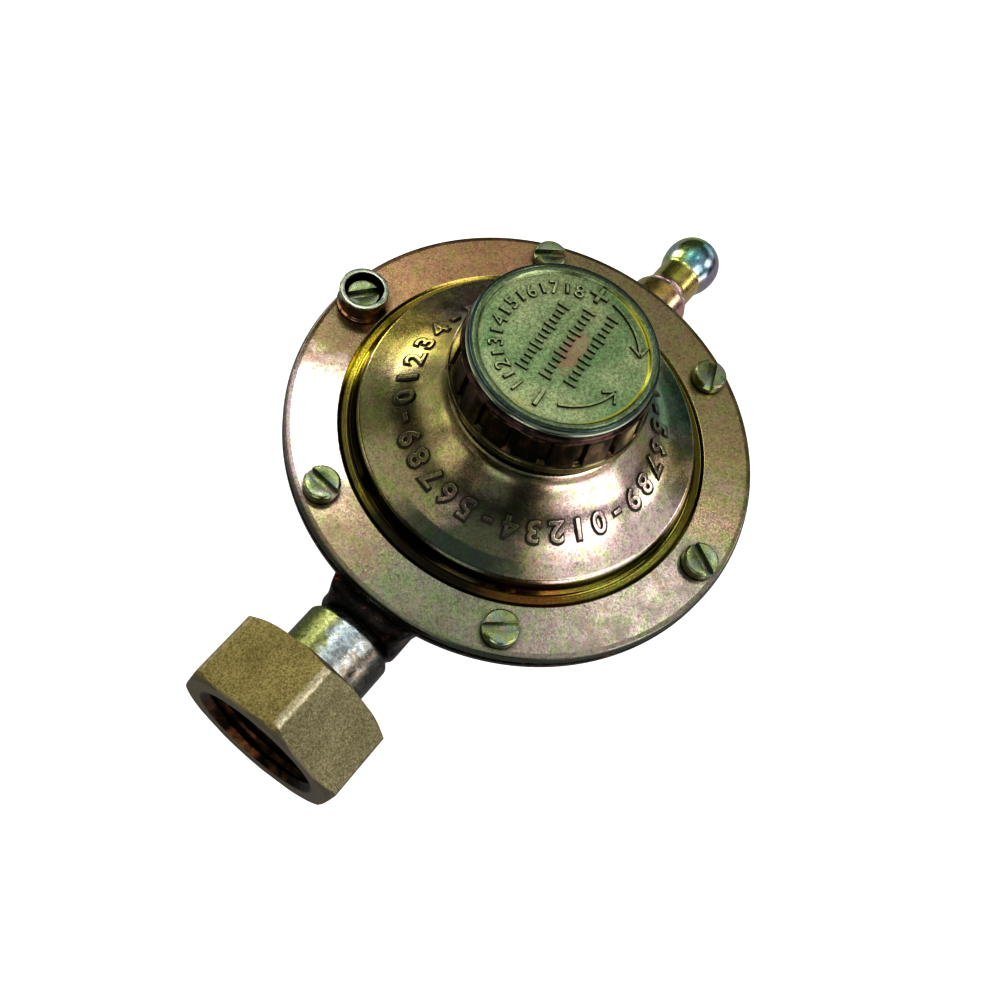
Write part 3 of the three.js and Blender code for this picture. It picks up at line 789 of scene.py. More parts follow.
MATERIALS = {
    "cover": cover_material(),
    "recess": recess_shade_material(),
    "knob_top": knob_top_material(),
    "knob_side": knob_rim_material(),
    "sand_brass": brass_material(),
    "thread": thread_material(),
    "screw": screw_material(),
    "cup": cup_material(),
    "stub": stub_material(),
    "nozzle": nozzle_material(),
    "casting": casting_material(),
    "steel": plain_metal("bright_steel", (0.32, 0.32, 0.33), (0.52, 0.52, 0.53)),
    "spring": plain_metal("spring_steel", (0.16, 0.16, 0.17), (0.34, 0.34, 0.35), 0.3),
    "brass": plain_metal("turned_brass", (0.42, 0.28, 0.09), (0.66, 0.48, 0.18)),
    "rubber": rubber_material(),
}

# ---------------- upper cover

COLLAR_RADIUS = 14.2
DOME = spline([(25.5, 27.2), (23.4, 27.72), (20.9, 28.6), (18.2, 30.4), (15.6, 33.1), (14.55, 34.4),
               (COLLAR_RADIUS, 35.25)])


def neck_thread(turn, radius, height):
    """Cuts a helical thread into the neck's outside."""
    inside = smooth_step(height, 36.6, 37.2) * (1 - smooth_step(height, NECK_TOP - 0.6, NECK_TOP - 0.2))
    on_neck = np.abs(radius - NECK_RADIUS) < 0.01
    return radius - 0.36 * helix_wave(turn, height) * inside * on_neck, height


def cover_profile():
    top = FLANGE_TOP
    flange = outline([
        (24.6, FLANGE_BOTTOM), (FLANGE_RADIUS - 0.1, FLANGE_BOTTOM, 0.15),
        (FLANGE_RADIUS, FLANGE_BOTTOM + 0.45, 0.3), (FLANGE_RADIUS - 0.35, top - 0.1, 0.35),
        (FLANGE_RADIUS - 1.1, top, 0.5), (28.95, top, 0.3), (28.45, top - 0.38, 0.35),
        (27.2, top - 0.40, 0.8), (26.5, top + 0.6, 0.7), (26.42, 26.5, 0.4), (26.0, 27.1, 0.45),
        (25.5, 27.2),
    ])
    collar = outline([
        (COLLAR_RADIUS, 35.25), (COLLAR_RADIUS + 0.1, 35.5, 0.15), (COLLAR_RADIUS, 36.05, 0.15),
        (COLLAR_RADIUS - 0.3, 36.2, 0.1), (NECK_RADIUS, 36.2),
    ])
    neck = [(NECK_RADIUS, z) for z in np.linspace(36.35, NECK_TOP - 0.15, 60)]
    inside = outline([
        (NECK_RADIUS - 0.25, NECK_TOP), (NECK_BORE + 0.2, NECK_TOP, 0.05), (NECK_BORE, NECK_TOP - 0.2, 0.05),
        (NECK_BORE, 33.6, 0.5), (12.5, 31.6, 1.0), (16.8, 28.6, 2.0), (19.8, 26.9, 2.0), (24.6, 25.4, 0.6),
    ])
    return flange[:-1] + DOME[:-1] + collar[:-1] + neck + inside


def upper_cover():
    obj = made("cover_shell", turned(cover_profile(), 216, warp=neck_thread))
    combined(obj, [screw_holes(FLANGE_BOTTOM - 1, FLANGE_TOP + 1, 32)], "DIFFERENCE")
    smoothed(obj)
    finish_piece(obj, "regulator_body", "passivated_zinc", ["upper_cover"], "cover")


# ---------------- raised marks


def glyph(character, height, bevel, raised=0.03, grow=0.0):
    """A raised character as a bmesh: it stands on z = 0, its middle is at x = 0 and its foot at y = 0."""
    curve = bpy.data.curves.new("glyph", "FONT")
    curve.body = character
    curve.size = height / 0.69
    curve.resolution_u = 3
    curve.bevel_depth = bevel
    curve.extrude = raised
    curve.offset = grow - bevel * 0.5
    obj = put("glyph", curve)
    bpy.context.view_layer.update()
    mesh = bpy.data.meshes.new_from_object(obj.evaluated_get(bpy.context.evaluated_depsgraph_get()))
    bm = bmesh.new()
    bm.from_mesh(mesh)
    bmesh.ops.remove_doubles(bm, verts=bm.verts, dist=1e-4)
    xs = [v.co.x for v in bm.verts]
    ys = [v.co.y for v in bm.verts]
    middle = (min(xs) + max(xs)) / 2
    foot = min(ys) - (height * 0.42 if character == "-" else 0)
    bmesh.ops.translate(bm, verts=bm.verts, vec=(-middle, -foot, 0))
    bpy.data.objects.remove(obj)
    bpy.data.curves.remove(curve)
    bpy.data.meshes.remove(mesh)
    return bm


def sides_dark(bm):
    """Flat faces get the first material, steep ones the second, whose dark colour paints their shade."""
    bm.normal_update()
    for face in bm.faces:
        face.material_index = 0 if face.normal.z > 0.8 else 1
    return bm


def ribbon(path, width, height, taper=0.26):
    """A raised stroke along a path in the plane z = 0, sunk a little under it."""
    path = [Vector(p) for p in path]
    ends = (path[1] - path[0]).normalized(), (path[-1] - path[-2]).normalized()
    bm = bmesh.new()
    rings = []
    for i, point in enumerate(path):
        before = path[max(i - 1, 0)]
        after = path[min(i + 1, len(path) - 1)]
        way = (after - before).normalized()
        side = Vector((-way.y, way.x, 0))
        reach = (-ends[0] if i == 0 else ends[1] if i == len(path) - 1 else Vector()) * taper
        low, high = side * (width / 2 + taper), side * (width / 2)
        foot, top = Vector((0, 0, -0.15)), Vector((0, 0, height))
        rings.append([bm.verts.new(point + reach + foot + low), bm.verts.new(point + top + high),
                      bm.verts.new(point + top - high), bm.verts.new(point + reach + foot - low)])
    return skin(bm, rings)


DOME_ARRAY = np.array(DOME[::-1])
DOME_LENGTH = np.concatenate([[0], np.cumsum(np.linalg.norm(np.diff(DOME_ARRAY, axis=0), axis=1))])
MARK_START = float(np.interp(18.1, DOME_ARRAY[:, 0], DOME_LENGTH))


def dome_point(distance):
    """Radius and height of the dome at a distance along its outline."""
    return [float(np.interp(distance, DOME_LENGTH, DOME_ARRAY[:, k])) for k in (0, 1)]


def on_dome(x, y, z, angle):
    """The place of a mark's point: x along the ring, y outward over the dome, z off its surface."""
    here = MARK_START + y
    radius, height = dome_point(here)
    ahead = dome_point(here + 0.1)
    slope = Vector((ahead[0] - radius, ahead[1] - height)).normalized()
    radius -= slope.y * z
    height += slope.x * z
    turn = angle - x / radius
    return Vector((radius * math.cos(turn), radius * math.sin(turn), height))


NUMERALS = "01234-56789-" * 3
NUMERAL_HEIGHT = 3.2


def cover_numerals():
    """Raised numerals round the dome, ten degrees apart, with their tops outward."""
    parts = []
    for k, character in enumerate(NUMERALS):
        angle = math.radians(96 - k * 360 / len(NUMERALS))
        top = sides_dark(glyph(character, NUMERAL_HEIGHT, 0.12, 0.2, 0.05))
        # A wider, thin copy round the numeral's foot, all in the dark material, paints its shadow outline on
        # the dome.
        foot = glyph(character, NUMERAL_HEIGHT, 0.02, 0.10, 0.30)
        for face in foot.faces:
            face.material_index = 1
        for bm in (top, foot):
            for vertex in bm.verts:
                vertex.co = on_dome(vertex.co.x, vertex.co.y, vertex.co.z + 0.02, angle)
            parts.append(bm)
    obj = made("cover_numerals", joined_bmesh(parts), 25)
    finish_piece(obj, "regulator_body", "passivated_zinc", [], "cover", "recess")


def arc_path(radius, start, end, count=14):
    """Points along an arc seen from above, angles in degrees."""
    return [polar(radius, angle) for angle in np.linspace(start, end, count)]


def arrow(radius, start, end):
    """A curved arrow with an open head, as on a control that turns."""
    path = arc_path(radius, start, end)
    tip = path[-1]
    way = (path[-1] - path[-2]).normalized()
    barbs = []
    for lean in (-1, 1):
        barb = Matrix.Rotation(math.radians(180 + lean * 38), 3, "Z") @ way
        barbs.append(ribbon([tip, tip + barb * 1.9], 0.3, 0.3, 0.14))
    return [ribbon(path, 0.3, 0.3, 0.14), *barbs]


# the two strokes of a plus and the stroke of a minus: centre, half length across and along, height
KNOB_SIGNS = (((10.35, 97), 1.3, 0, 0.34), ((10.35, 97), 0, 1.3, 0.36), ((9.35, -76.5), 0, 1.3, 0.34))
# the place of each row and its two ends
TICK_ROWS = ((-3.3, -6.4, 5.6), (0.1, -5.8, 7.0), (3.4, -4.8, 8.0))
TICKS_IN_ROW = 13
SCALE = "1|2|3|4|5|6|7|8"


def knob_marks():
    """Plus, minus, two arrows, a scale of numerals and three rows of ticks on the knob's recessed top."""
    turned_rows = turn_z(KNOB_TEXT_TURN - 90)
    parts = []
    for centre, across, along, height in KNOB_SIGNS:
        reach = turned_rows @ Vector((across, along, 0))
        parts.append(ribbon([polar(*centre) - reach, polar(*centre) + reach], 0.5, height, 0.16))
    parts += arrow(10.6, 84, 35)
    parts += arrow(9.4, -60, -6)
    for k, character in enumerate(SCALE):
        angle = math.radians(-97 - k * 150 / (len(SCALE) - 1))
        if character == "|":
            bm = ribbon([(0, 0.3, 0), (0, 1.8, 0)], 0.34, 0.3)
        else:
            bm = glyph(character, 2.1, 0.08, 0.2)
        parts.append(placed(bm, shift(0, 8.5, 0), Matrix.Rotation(angle - math.pi / 2, 4, "Z")))
    for row, low, high in TICK_ROWS:
        for k in range(TICKS_IN_ROW):
            along = low + (high - low) * k / (TICKS_IN_ROW - 1)
            reach = 0.85 if k % 4 == 0 else 0.55
            bm = ribbon([(row - reach, along, 0), (row + reach, along, 0)], 0.26, 0.28, 0.14)
            parts.append(placed(bm, turned_rows))
    # The marks' steep sides and widened feet take the dark material, as painted shade.
    marks = placed(sides_dark(joined_bmesh(parts)), shift(0, 0, KNOB_FLOOR))
    finish_piece(made("knob_marks", marks, 25), "knob", "knob_zinc", [], "knob_top", "recess")


# ---------------- adjusting knob


def knob_angles():
    """Columns of the knob, close together at the walls of every slot."""
    parts = (0.0, 0.06, 0.095, 0.105, 0.125, 0.14, 0.16, 0.22, 0.36, 0.5, 0.64, 0.78, 0.84, 0.86, 0.875,
             0.895, 0.905, 0.94)
    return np.array([(k + part) * TAU / KNOB_RIBS for k in range(KNOB_RIBS) for part in parts])


def knob_warp(turn, radius, height):
    """Slots between the ribs outside, and a helical thread inside."""
    low, high = KNOB_SIDE_LOW, KNOB_SIDE_TOP
    rib = turn / TAU * KNOB_RIBS % 1
    away = np.minimum(rib, 1 - rib)
    slot = 1 - smooth_step(away, 0.098, 0.135)
    tall = smooth_step(height, low, low + 0.25) * (1 - smooth_step(height, high - 0.3, high))
    outside = radius > 13.5
    crown = 0.06 * np.cos((away - 0.5) * math.pi) * tall
    cut = (0.62 * slot * tall - crown * (1 - slot)) * outside
    bore = (np.abs(radius - KNOB_BORE) < 0.01) & (height < KNOB_TOP - 2.7) & (height > KNOB_BOTTOM + 0.3)
    thread = 0.26 * helix_wave(turn, height) * bore
    return radius - cut - thread, height


def knob():
    top, bottom = KNOB_TOP, KNOB_BOTTOM
    side_top, side_low = KNOB_SIDE_TOP, KNOB_SIDE_LOW
    upper = outline([
        (0, KNOB_FLOOR), (12.0, KNOB_FLOOR, 0.12), (12.28, top, 0.14), (12.85, top, 0.1),
        (12.95, top - 0.14, 0.07), (13.05, top, 0.1), (13.45, top, 0.28),
        (13.62, top - 0.62, 0.16), (13.44, top - 0.84, 0.1), (13.62, top - 1.05, 0.14),
        (13.58, top - 1.35, 0.12), (13.22, top - 1.6, 0.3), (13.3, top - 2.25, 0.4),
        (13.85, side_top + 0.12, 0.2), (KNOB_SHOULDER, side_top),
    ])
    spread = KNOB_SKIRT - KNOB_SHOULDER
    side = [(KNOB_SHOULDER + spread * (side_top - z) / (side_top - side_low), z) for z in
            (side_top - 0.06, side_top - 0.12, side_top - 0.2, side_top - 0.3, side_top - 0.6, 44, 43, 42,
             side_low + 0.6, side_low + 0.25, side_low + 0.18, side_low + 0.1, side_low + 0.04)]
    lip = outline([
        (KNOB_SKIRT, side_low), (14.88, side_low - 0.2, 0.12), (15.0, bottom + 0.35, 0.3),
        (14.8, bottom, 0.15), (KNOB_BORE + 0.1, bottom, 0.1), (KNOB_BORE, bottom + 0.2),
    ])
    bore = [(KNOB_BORE, z) for z in np.arange(bottom + 0.35, top - 2.6, 0.14)]
    inside = outline([(KNOB_BORE, top - 2.5), (12.4, top - 2.45, 0.05), (4, top - 2.45, 0.1),
                      (4, top - 3.45, 0.1), (0, top - 3.45)])
    profile = upper[:-1] + side + lip + bore + inside
    obj = made("knob_shell", turned(profile, closed=False, warp=knob_warp, angles=knob_angles()))
    for polygon in obj.data.polygons:
        centre = polygon.center / MM
        on_floor = KNOB_FLOOR - 0.1 < centre.z < KNOB_TOP - 0.12
        polygon.material_index = 0 if on_floor and math.hypot(centre.x, centre.y) < 12.2 else 1
    finish_piece(obj, "knob", "knob_zinc", ["adjusting_knob"], "knob_top", "knob_side")


# ---------------- screws and cup


def flange_screw(k):
    node = f"flange_screw_{k + 1}"
    low, high = node_box(node)
    top, seat = high.z, high.z - SCREW_HEAD_HEIGHT
    head = outline([(0, top), (2.45, top, 0.2), (2.72, top - 0.3, 0.25), (SCREW_HEAD, seat + 0.2, 0.2),
                    (2.6, seat, 0.1), (SCREW_SHANK, seat)])
    shank = outline([(SCREW_SHANK, seat), (SCREW_SHANK, low.z + 0.3, 0.1), (1.2, low.z, 0.1), (0, low.z)])
    obj = made(node + "_screw", turned(head[:-1] + shank, 72, closed=False))
    combined(obj, [block((-4, -0.68, top - 1.0), (4, 0.68, top + 1))], "DIFFERENCE")
    bevelled(obj, 0.07, 50)
    place = at_screw(k) @ turn_z(SCREW_SLOT_TURNS[k] - 60 * k)
    obj.data.transform(TO_METRES @ place @ Matrix.Diagonal((1 / MM, 1 / MM, 1 / MM, 1)))
    smoothed(obj)
    finish_piece(obj, "regulator_body", "zinc_steel", [node], "screw")


def seal_cup():
    low, high = node_box("seal_cup")
    foot, top = low.z, high.z
    profile = outline([
        (SCREW_HOLE, foot), (4.05, foot, 0.15), (4.05, foot + 0.38, 0.18), (3.72, foot + 0.72, 0.25),
        (3.68, foot + 2.6, 0.8), (3.85, top - 0.5, 0.3), (3.85, top, 0.18), (3.0, top, 0.14),
        (2.98, top - 0.6, 0.1), (3.06, top - 0.7, 0.1), (3.06, foot + 0.5, 0.35), (SCREW_HOLE, foot + 0.5),
    ], closed=True)
    obj = made("seal_cup_shell", placed(turned(profile, 96), at_screw(CUP_SCREW)))
    finish_piece(obj, "regulator_body", "zinc_steel", ["seal_cup"], "cup")


# ---------------- inlet


def soft_min(a, b, width):
    return -width * np.log(np.exp(-a / width) + np.exp(-b / width))


def nut_warp(turn, radius, height):
    """Hexagon with rounded ridges and chamfered ends outside, and a helical thread inside."""
    ridge = math.radians(NUT_RIDGE_ANGLE)
    off_flat = (turn - ridge) % (TAU / 6) - TAU / 12
    hexagon = NUT_APOTHEM / np.cos(off_flat)
    hexagon = soft_min(hexagon, np.full_like(hexagon, NUT_RIDGE_RADIUS), 0.05)
    end = np.minimum(height - NUT_BACK, NUT_FRONT - height)
    chamfer = 12.75 + 1.75 * end
    outer = soft_min(hexagon, chamfer, 0.045)
    is_outer = radius > 13
    inside = smooth_step(height, NUT_BACK + 3.3, NUT_BACK + 4.0)
    is_thread = np.abs(radius - NUT_THREAD) < 0.01
    thread = 0.62 * (1 - helix_wave(turn, height)) * inside * is_thread
    return np.where(is_outer, outer, radius + thread), height


def union_nut():
    ends = np.concatenate([np.linspace(0, 1.3, 14), [1.6, 2.2, 3.2, 4.5]])
    outer = [(14, NUT_BACK + d) for d in ends] + [(14, NUT_FRONT - d) for d in ends[::-1]]
    mouth = outline([(12.55, NUT_FRONT), (10.25, NUT_FRONT, 0.15), (NUT_THREAD + 0.1, NUT_FRONT - 1.0)])
    thread = [(NUT_THREAD, y) for y in np.arange(NUT_FRONT - 1.1, NUT_BACK + 3.1, -0.14)]
    floor = outline([(NUT_THREAD - 0.1, NUT_BACK + 3.0), (NUT_BORE, NUT_BACK + 3.0, 0.15),
                     (NUT_BORE, NUT_BACK, 0.2), (12.55, NUT_BACK)])
    bm = turned(outer + mouth + thread + floor, 312, warp=nut_warp)
    for face in bm.faces:
        centre = face.calc_center_median()
        inside = math.hypot(centre.x, centre.y) < 10.15 and NUT_BACK + 0.5 < centre.z < NUT_FRONT - 0.1
        face.material_index = 1 if inside else 0
    obj = made("union_nut_shell", placed(bm, ALONG_INLET), 50)
    finish_piece(obj, "nut", "sand_brass", ["union_nut"], "sand_brass", "thread")


def inlet_spigot():
    back, front = -SPIGOT_HIGH.y, -SPIGOT_LOW.y
    profile = outline([
        (2.6, back), (4.7, back, 0.3), (4.7, 39.9, 0.1), (6.1, 39.9, 0.3), (STUB_RADIUS, 41.0, 0.9),
        (STUB_RADIUS, front - 1.7, 0.2), (8.8, front - 1.7, 0.15), (8.8, front, 0.2), (2.6, front, 0.2),
    ], closed=True)
    obj = made("inlet_stub", placed(turned(profile, 120), ALONG_INLET))
    finish_piece(obj, "regulator_body", "zinc_steel", ["inlet_spigot"], "stub")


# ---------------- outlet


def outlet_nozzle():
    back, tip = NOZZLE_LOW.y, NOZZLE_HIGH.y
    shank = outline([
        (NOZZLE_BORE, back), (3.6, back, 0.2), (3.6, 36.9, 0.1), (NOZZLE_SHANK, 36.9, 0.15),
        (NOZZLE_SHANK, 46.2, 0.7), (4.95, 47.05, 0.12), (4.5, 47.2, 0.12), (4.62, 47.55, 0.2),
        (4.5, 48.1, 0.3), (4.15, 48.35, 0.2), (NOZZLE_BARREL, 49.0, 0.4), (NOZZLE_BARREL, 52.9),
    ])
    bead = spline([(NOZZLE_BARREL, 52.9), (4.2, 53.4), (4.5, 54.1), (4.95, 55.5), (5.15, 57.2), (4.95, 58.9),
                   (4.35, 60.3), (3.6, 61.2), (2.9, 61.65)])
    mouth = outline([(2.9, 61.65), (2.45, tip, 0.2), (NOZZLE_BORE, tip - 0.3, 0.2), (NOZZLE_BORE, tip - 1)])
    obj = made("nozzle", placed(turned(shank[:-1] + bead[:-1] + mouth, 120), ALONG_OUTLET), 50)
    finish_piece(obj, "regulator_body", "zinc_steel", ["outlet_nozzle"], "nozzle")


# ---------------- lower body


def casting_lump():
    """The bowl, bosses and web as one softened casting, without its flange."""
    bowl = turned(outline([
        (0, 0), (17, 0, 0.8), (20.5, 1.2, 2), (24.5, 4.6, 5), (27.5, 9.8, 8), (29, 15.4, 8), (29.6, 21.4),
        (0, 21.4),
    ]), 96, closed=False)
    obj = made("body_shell", bowl)
    inlet_boss = outline([(0, 20), (8.2, 20), (7.4, 29.5, 3), (6.9, 33, 3), (6.9, 39.5, 0.5), (0, 39.5)])
    outlet_boss = outline([(0, 20), (7.4, 20), (6.6, 29.5, 3), (6.2, 35.7, 0.5), (0, 35.7)])
    bosses = [placed(turned(inlet_boss, 64, closed=False), ALONG_INLET),
              placed(turned(outlet_boss, 64, closed=False), ALONG_OUTLET)]
    web = bmesh.new()
    corners = [(-10.5, -27), (-6.4, -38.3), (6.4, -38.3), (10.5, -27)]
    skin(web, [[web.verts.new((x, y, z)) for x, y in corners] for z in (17.4, 21.0)])
    combined(obj, [*bosses, web], "UNION")
    remesh = obj.modifiers.new("remesh", "REMESH")
    remesh.mode = "VOXEL"
    remesh.voxel_size = 0.55 * MM
    soften = obj.modifiers.new("soften", "SMOOTH")
    soften.factor = 0.5
    soften.iterations = 6
    bake_modifiers(obj)
    return obj


def body_casting():
    obj = casting_lump()
    rim, foot = FLANGE_RADIUS, BODY_TOP - BODY_FLANGE_THICKNESS
    flange = turned(outline([
        (28.6, foot - 0.6), (29.9, foot - 0.5, 0.2), (30.6, foot, 0.5), (rim - 0.3, foot, 0.3),
        (rim, foot + 0.4, 0.25), (rim, BODY_TOP, 0.2), (CAVITY, BODY_TOP, 0.2), (26.4, foot - 0.6),
    ], closed=True), 180)
    cavity = turned(outline([
        (0, 2.8), (17, 2.8, 1.5), (20.5, 4.1, 2), (24, 7.2, 4), (26.2, 12, 6), (CAVITY, BODY_TOP + 1),
        (0, BODY_TOP + 1),
    ]), 96, closed=False)
    guide = block((-4.6, -18.6, 2.4), (4.6, -14.2, 18.9))
    ears = [block((x, -15, 2.4), (x + 2.1, -8.4, 12.9)) for x in (-4.4, 2.3)]
    combined(obj, [cavity], "DIFFERENCE")
    combined(obj, [flange, guide, *ears], "UNION")
    holes = screw_holes(foot - 1, BODY_TOP + 1, 28)
    bores = [placed(rod(5.0, 20, 41.6, 48), ALONG_INLET), placed(rod(3.1, 10, 20.5, 40), ALONG_INLET),
             placed(rod(3.9, 20, 37.8, 48), ALONG_OUTLET)]
    pin = placed(rod(1.05, -8, 8, 24), Matrix.Rotation(math.pi / 2, 4, "Y"), shift(0, -11, 10.3))
    combined(obj, [holes, *bores, pin], "DIFFERENCE")
    smoothed(obj, 42)
    finish_piece(obj, "regulator_body", "casting_dark", ["body_casting"], "casting")


# ---------------- spring and diaphragm


def tube(path, radius, sides=12):
    """A closed round tube along a path, in millimetres."""
    bm = bmesh.new()
    rings = []
    for i, point in enumerate(path):
        way = (path[min(i + 1, len(path) - 1)] - path[max(i - 1, 0)]).normalized()
        out = Vector((point.x, point.y, 0)).normalized()
        side = way.cross(out).normalized()
        out = side.cross(way)
        rings.append([bm.verts.new(point + radius * (math.cos(a) * out + math.sin(a) * side))
                      for a in np.arange(sides) * TAU / sides])
    return skin(bm, rings)


def spring_point(t):
    """A point of the wire's middle, with t from 0 at the foot to 1 at the top."""
    rise = (t * SPRING_TURNS - SPRING_END_TURNS) / (SPRING_TURNS - 2 * SPRING_END_TURNS)
    rise = min(max(rise, 0), 1)
    low, high = SPRING_LOW.z + WIRE_RADIUS, SPRING_HIGH.z - WIRE_RADIUS
    angle = TAU * SPRING_TURNS * t
    x, y = SPRING_RADIUS * math.cos(angle), SPRING_RADIUS * math.sin(angle)
    return Vector((x, y, low + (high - low) * rise))


def main_spring():
    """The spring in two halves, the lower and the upper half of its turns."""
    middle = (SPRING_LOW.z + SPRING_HIGH.z) / 2
    halves = (("main_spring_lower", 0, 0.5, "diaphragm_centre", "regulator_body", SPRING_LOW.z, middle),
              ("main_spring_upper", 0.5, 1, "regulator_body", "spring_carrier", middle, SPRING_HIGH.z))
    for name, start, end, first, second, low, high in halves:
        path = [spring_point(t) for t in np.linspace(start, end, 140)]
        obj = made(name, tube(path, WIRE_RADIUS), 60)
        obj.data.materials.append(MATERIALS["spring"])
        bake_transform(obj)
        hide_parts("main_spring")


def diaphragm():
    """The rubber diaphragm in six sectors, each reaching from the clamped rim to the plates at its centre."""
    top, bottom = DISC_TOP, DISC_TOP - DISC_THICKNESS
    roll = spline([(17.6, 0), (18.6, -0.15), (20, -1.1), (21.4, -1.6), (22.8, -1.1), (24.2, -0.15),
                   (25.2, 0)], 5)
    line = [(SCREW_HOLE, 0), (6, 0), (12, 0), *roll, (30, 0), (FLANGE_RADIUS - 0.4, 0)]
    sides = 10
    for k in range(SCREW_COUNT):
        bm = bmesh.new()
        columns = []
        for i in range(sides + 1):
            turn = 60 * k - 30 + 60 * i / sides
            columns.append([[bm.verts.new(polar(radius, turn, level + drop)) for radius, drop in line]
                            for level in (top, bottom)])
        for a, b in zip(columns, columns[1:]):
            for level in (0, 1):
                for j in range(len(line) - 1):
                    bm.faces.new([a[level][j], b[level][j], b[level][j + 1], a[level][j + 1]])
            for j in (0, len(line) - 1):
                bm.faces.new([a[0][j], b[0][j], b[1][j], a[1][j]])
        for column in (columns[0], columns[-1]):
            for j in range(len(line) - 1):
                bm.faces.new([column[0][j], column[0][j + 1], column[1][j + 1], column[1][j]])
        bmesh.ops.recalc_face_normals(bm, faces=bm.faces)
        obj = made(f"diaphragm_sector_{k + 1}", bm)
        combined(obj, [placed(rod(SCREW_HOLE, bottom - 1, top + 1, 28), at_screw(k))], "DIFFERENCE")
        smoothed(obj)
        obj.data.materials.append(MATERIALS["rubber"])
        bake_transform(obj)
        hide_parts("diaphragm")


# ---------------- inner parts kept from the CAD

CARRIED_OVER = {
    "spring_button": "steel", "diaphragm_plate_upper": "steel", "diaphragm_plate_lower": "steel",
    "diaphragm_stem": "brass", "stem_nut": "steel", "lever": "steel", "lever_pin": "steel",
    "valve_plunger": "brass", "valve_pad": "rubber", "valve_seat_jet": "brass", "inlet_filter": "brass",
    "inlet_gasket": "rubber", "nut_slip_washer": "steel", "outlet_seal_ring": "rubber",
}


def carry_over():
    for node, material in CARRIED_OVER.items():
        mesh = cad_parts[node].data
        mesh.materials.clear()
        mesh.materials.append(MATERIALS[material])


# ---------------- camera, light and floor

WHITE = (1.0, 1.0, 1.0)
VIEW_AZIMUTH, VIEW_ELEVATION, VIEW_ROLL = 14.6, 62.34, 25.29
VIEW_DISTANCE = 175.57
VIEW_OFFSET = (-4.05, -10.80)
FOCAL_LENGTH = 40.914


def camera():
    azimuth, elevation, roll = (math.radians(a) for a in (VIEW_AZIMUTH, VIEW_ELEVATION, VIEW_ROLL))
    back = Vector((math.sin(azimuth) * math.cos(elevation), -math.cos(azimuth) * math.cos(elevation),
                   math.sin(elevation)))
    level = Vector((0, 0, 1)).cross(back).normalized()
    upright = back.cross(level)
    right = math.cos(roll) * level + math.sin(roll) * upright
    up = -math.sin(roll) * level + math.cos(roll) * upright
    place = Vector((0, 0, FLANGE_TOP)) + right * VIEW_OFFSET[0] + up * VIEW_OFFSET[1] + back * VIEW_DISTANCE
    data = bpy.data.cameras.new("camera")
    data.lens = FOCAL_LENGTH
    data.sensor_width = 36
    data.clip_start = 0.01
    obj = put("camera", data)
    obj.matrix_world = Matrix.Translation(place * MM) @ Matrix((right, up, back)).transposed().to_4x4()
    bpy.context.scene.camera = obj


LIGHTS = (
    # name, place, width and height in metres, radiance, colour
    ("overhead_left", (-0.165, 0.155, 0.45), (0.075, 0.10), 7.0, WHITE),
    ("overhead_right", (0.055, 0.20, 0.45), (0.05, 0.08), 5.5, WHITE),
    ("strip_left", (-0.40, 0.14, 0.17), (0.09, 0.30), 5.6, WHITE),
    ("strip_right", (0.31, 0.02, 0.35), (0.13, 0.24), 5.5, (1.0, 0.96, 0.96)),
    ("high_back", (0.33, 0.30, 0.26), (0.13, 0.16), 5.5, WHITE),
    ("low_right", (0.45, -0.05, 0.08), (0.50, 0.14), 3.2, (1.0, 0.94, 0.96)),
    ("low_left", (-0.45, -0.14, 0.06), (0.38, 0.12), 1.8, (1.0, 0.97, 0.78)),
    ("low_front", (0.08, -0.45, 0.11), (0.20, 0.12), 3.5, (1.0, 0.90, 0.92)),
    ("low_corner", (-0.24, -0.35, 0.165), (0.16, 0.12), 1.5, (1.0, 0.98, 0.84)),
    ("back_fill", (0.10, 0.50, 0.14), (0.30, 0.15), 1.5, WHITE),
)
LIGHTS_AIM = Vector((0, 0, 0.02))


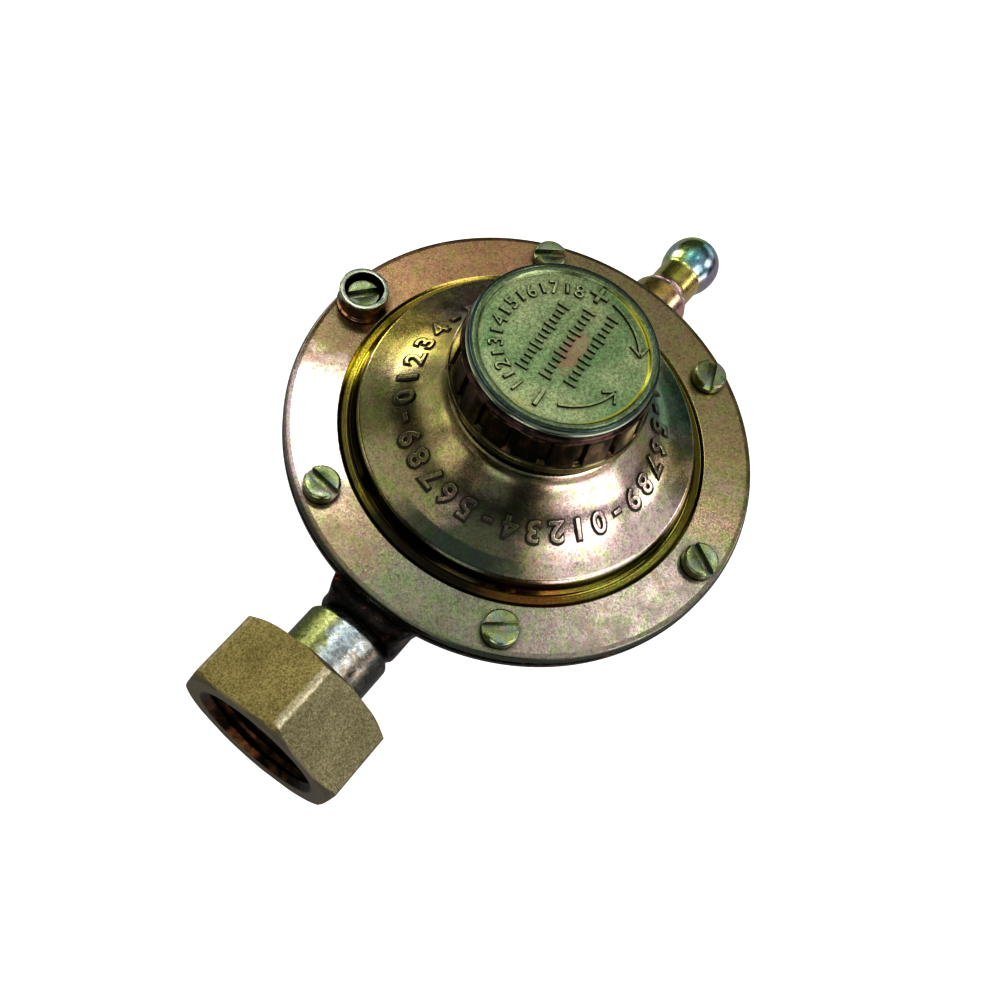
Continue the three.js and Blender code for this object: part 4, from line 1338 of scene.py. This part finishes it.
def softbox(name, place, size, radiance, colour):
    """A rectangular light whose face has the radiance given, aimed at the object."""
    data = bpy.data.lights.new(name, "AREA")
    data.shape = "RECTANGLE"
    data.size, data.size_y = size
    data.energy = radiance * math.pi * size[0] * size[1]
    data.color = colour
    way = (LIGHTS_AIM - Vector(place)).to_track_quat("-Z", "Y")
    put(name, data).matrix_world = Matrix.Translation(place) @ way.to_matrix().to_4x4()


def floor():
    """A pale floor, bright in the picture and quiet in the metal's reflections."""
    obj = made("floor", block((-1500, -1500, -1.0), (1500, 1500, -0.02)))
    s = Shader("pale_floor")
    seen = s.node("ShaderNodeLightPath").outputs["Is Camera Ray"]
    s.set(Base_Color=(0.45, 0.45, 0.45), Roughness=0.9, Emission_Color=WHITE,
          Emission_Strength=s.times(seen, 0.86))
    obj.data.materials.append(s.material)


SKY_LEVELS = ((0.0, 0.05), (0.35, 0.06), (0.68, 0.10), (0.80, 0.62), (1.0, 0.68))


def sky():
    """Studio walls: dark near the horizon and bright overhead, and plain white behind the object."""
    world = bpy.data.worlds.new("studio")
    bpy.context.scene.world = world
    world.use_nodes = True
    nodes, links = world.node_tree.nodes, world.node_tree.links
    place = nodes.new("ShaderNodeTexCoord").outputs["Generated"]
    split = nodes.new("ShaderNodeSeparateXYZ")
    ramp = nodes.new("ShaderNodeValToRGB")
    links.new(place, split.inputs[0])
    links.new(split.outputs["Z"], ramp.inputs["Fac"])
    set_stops(ramp, [(height, (level, level, level * 1.03)) for height, level in SKY_LEVELS])
    mix = nodes.new("ShaderNodeMix")
    mix.data_type = "RGBA"
    colours = [socket for socket in mix.inputs if socket.type == "RGBA"]
    colours[1].default_value = (1.1, 1.1, 1.1, 1)
    links.new(ramp.outputs["Color"], colours[0])
    links.new(nodes.new("ShaderNodeLightPath").outputs["Is Camera Ray"], mix.inputs["Factor"])
    result = [socket for socket in mix.outputs if socket.type == "RGBA"][0]
    links.new(result, nodes["Background"].inputs["Color"])


def studio():
    floor()
    sky()
    for light in LIGHTS:
        softbox(*light)
    view = bpy.context.scene.view_settings
    view.view_transform = "Standard"
    view.look = "Medium High Contrast"


# ---------------- building

upper_cover()
cover_numerals()
knob()
knob_marks()
for screw in range(SCREW_COUNT):
    flange_screw(screw)
seal_cup()
union_nut()
inlet_spigot()
outlet_nozzle()
body_casting()
main_spring()
diaphragm()
carry_over()
camera()
studio()
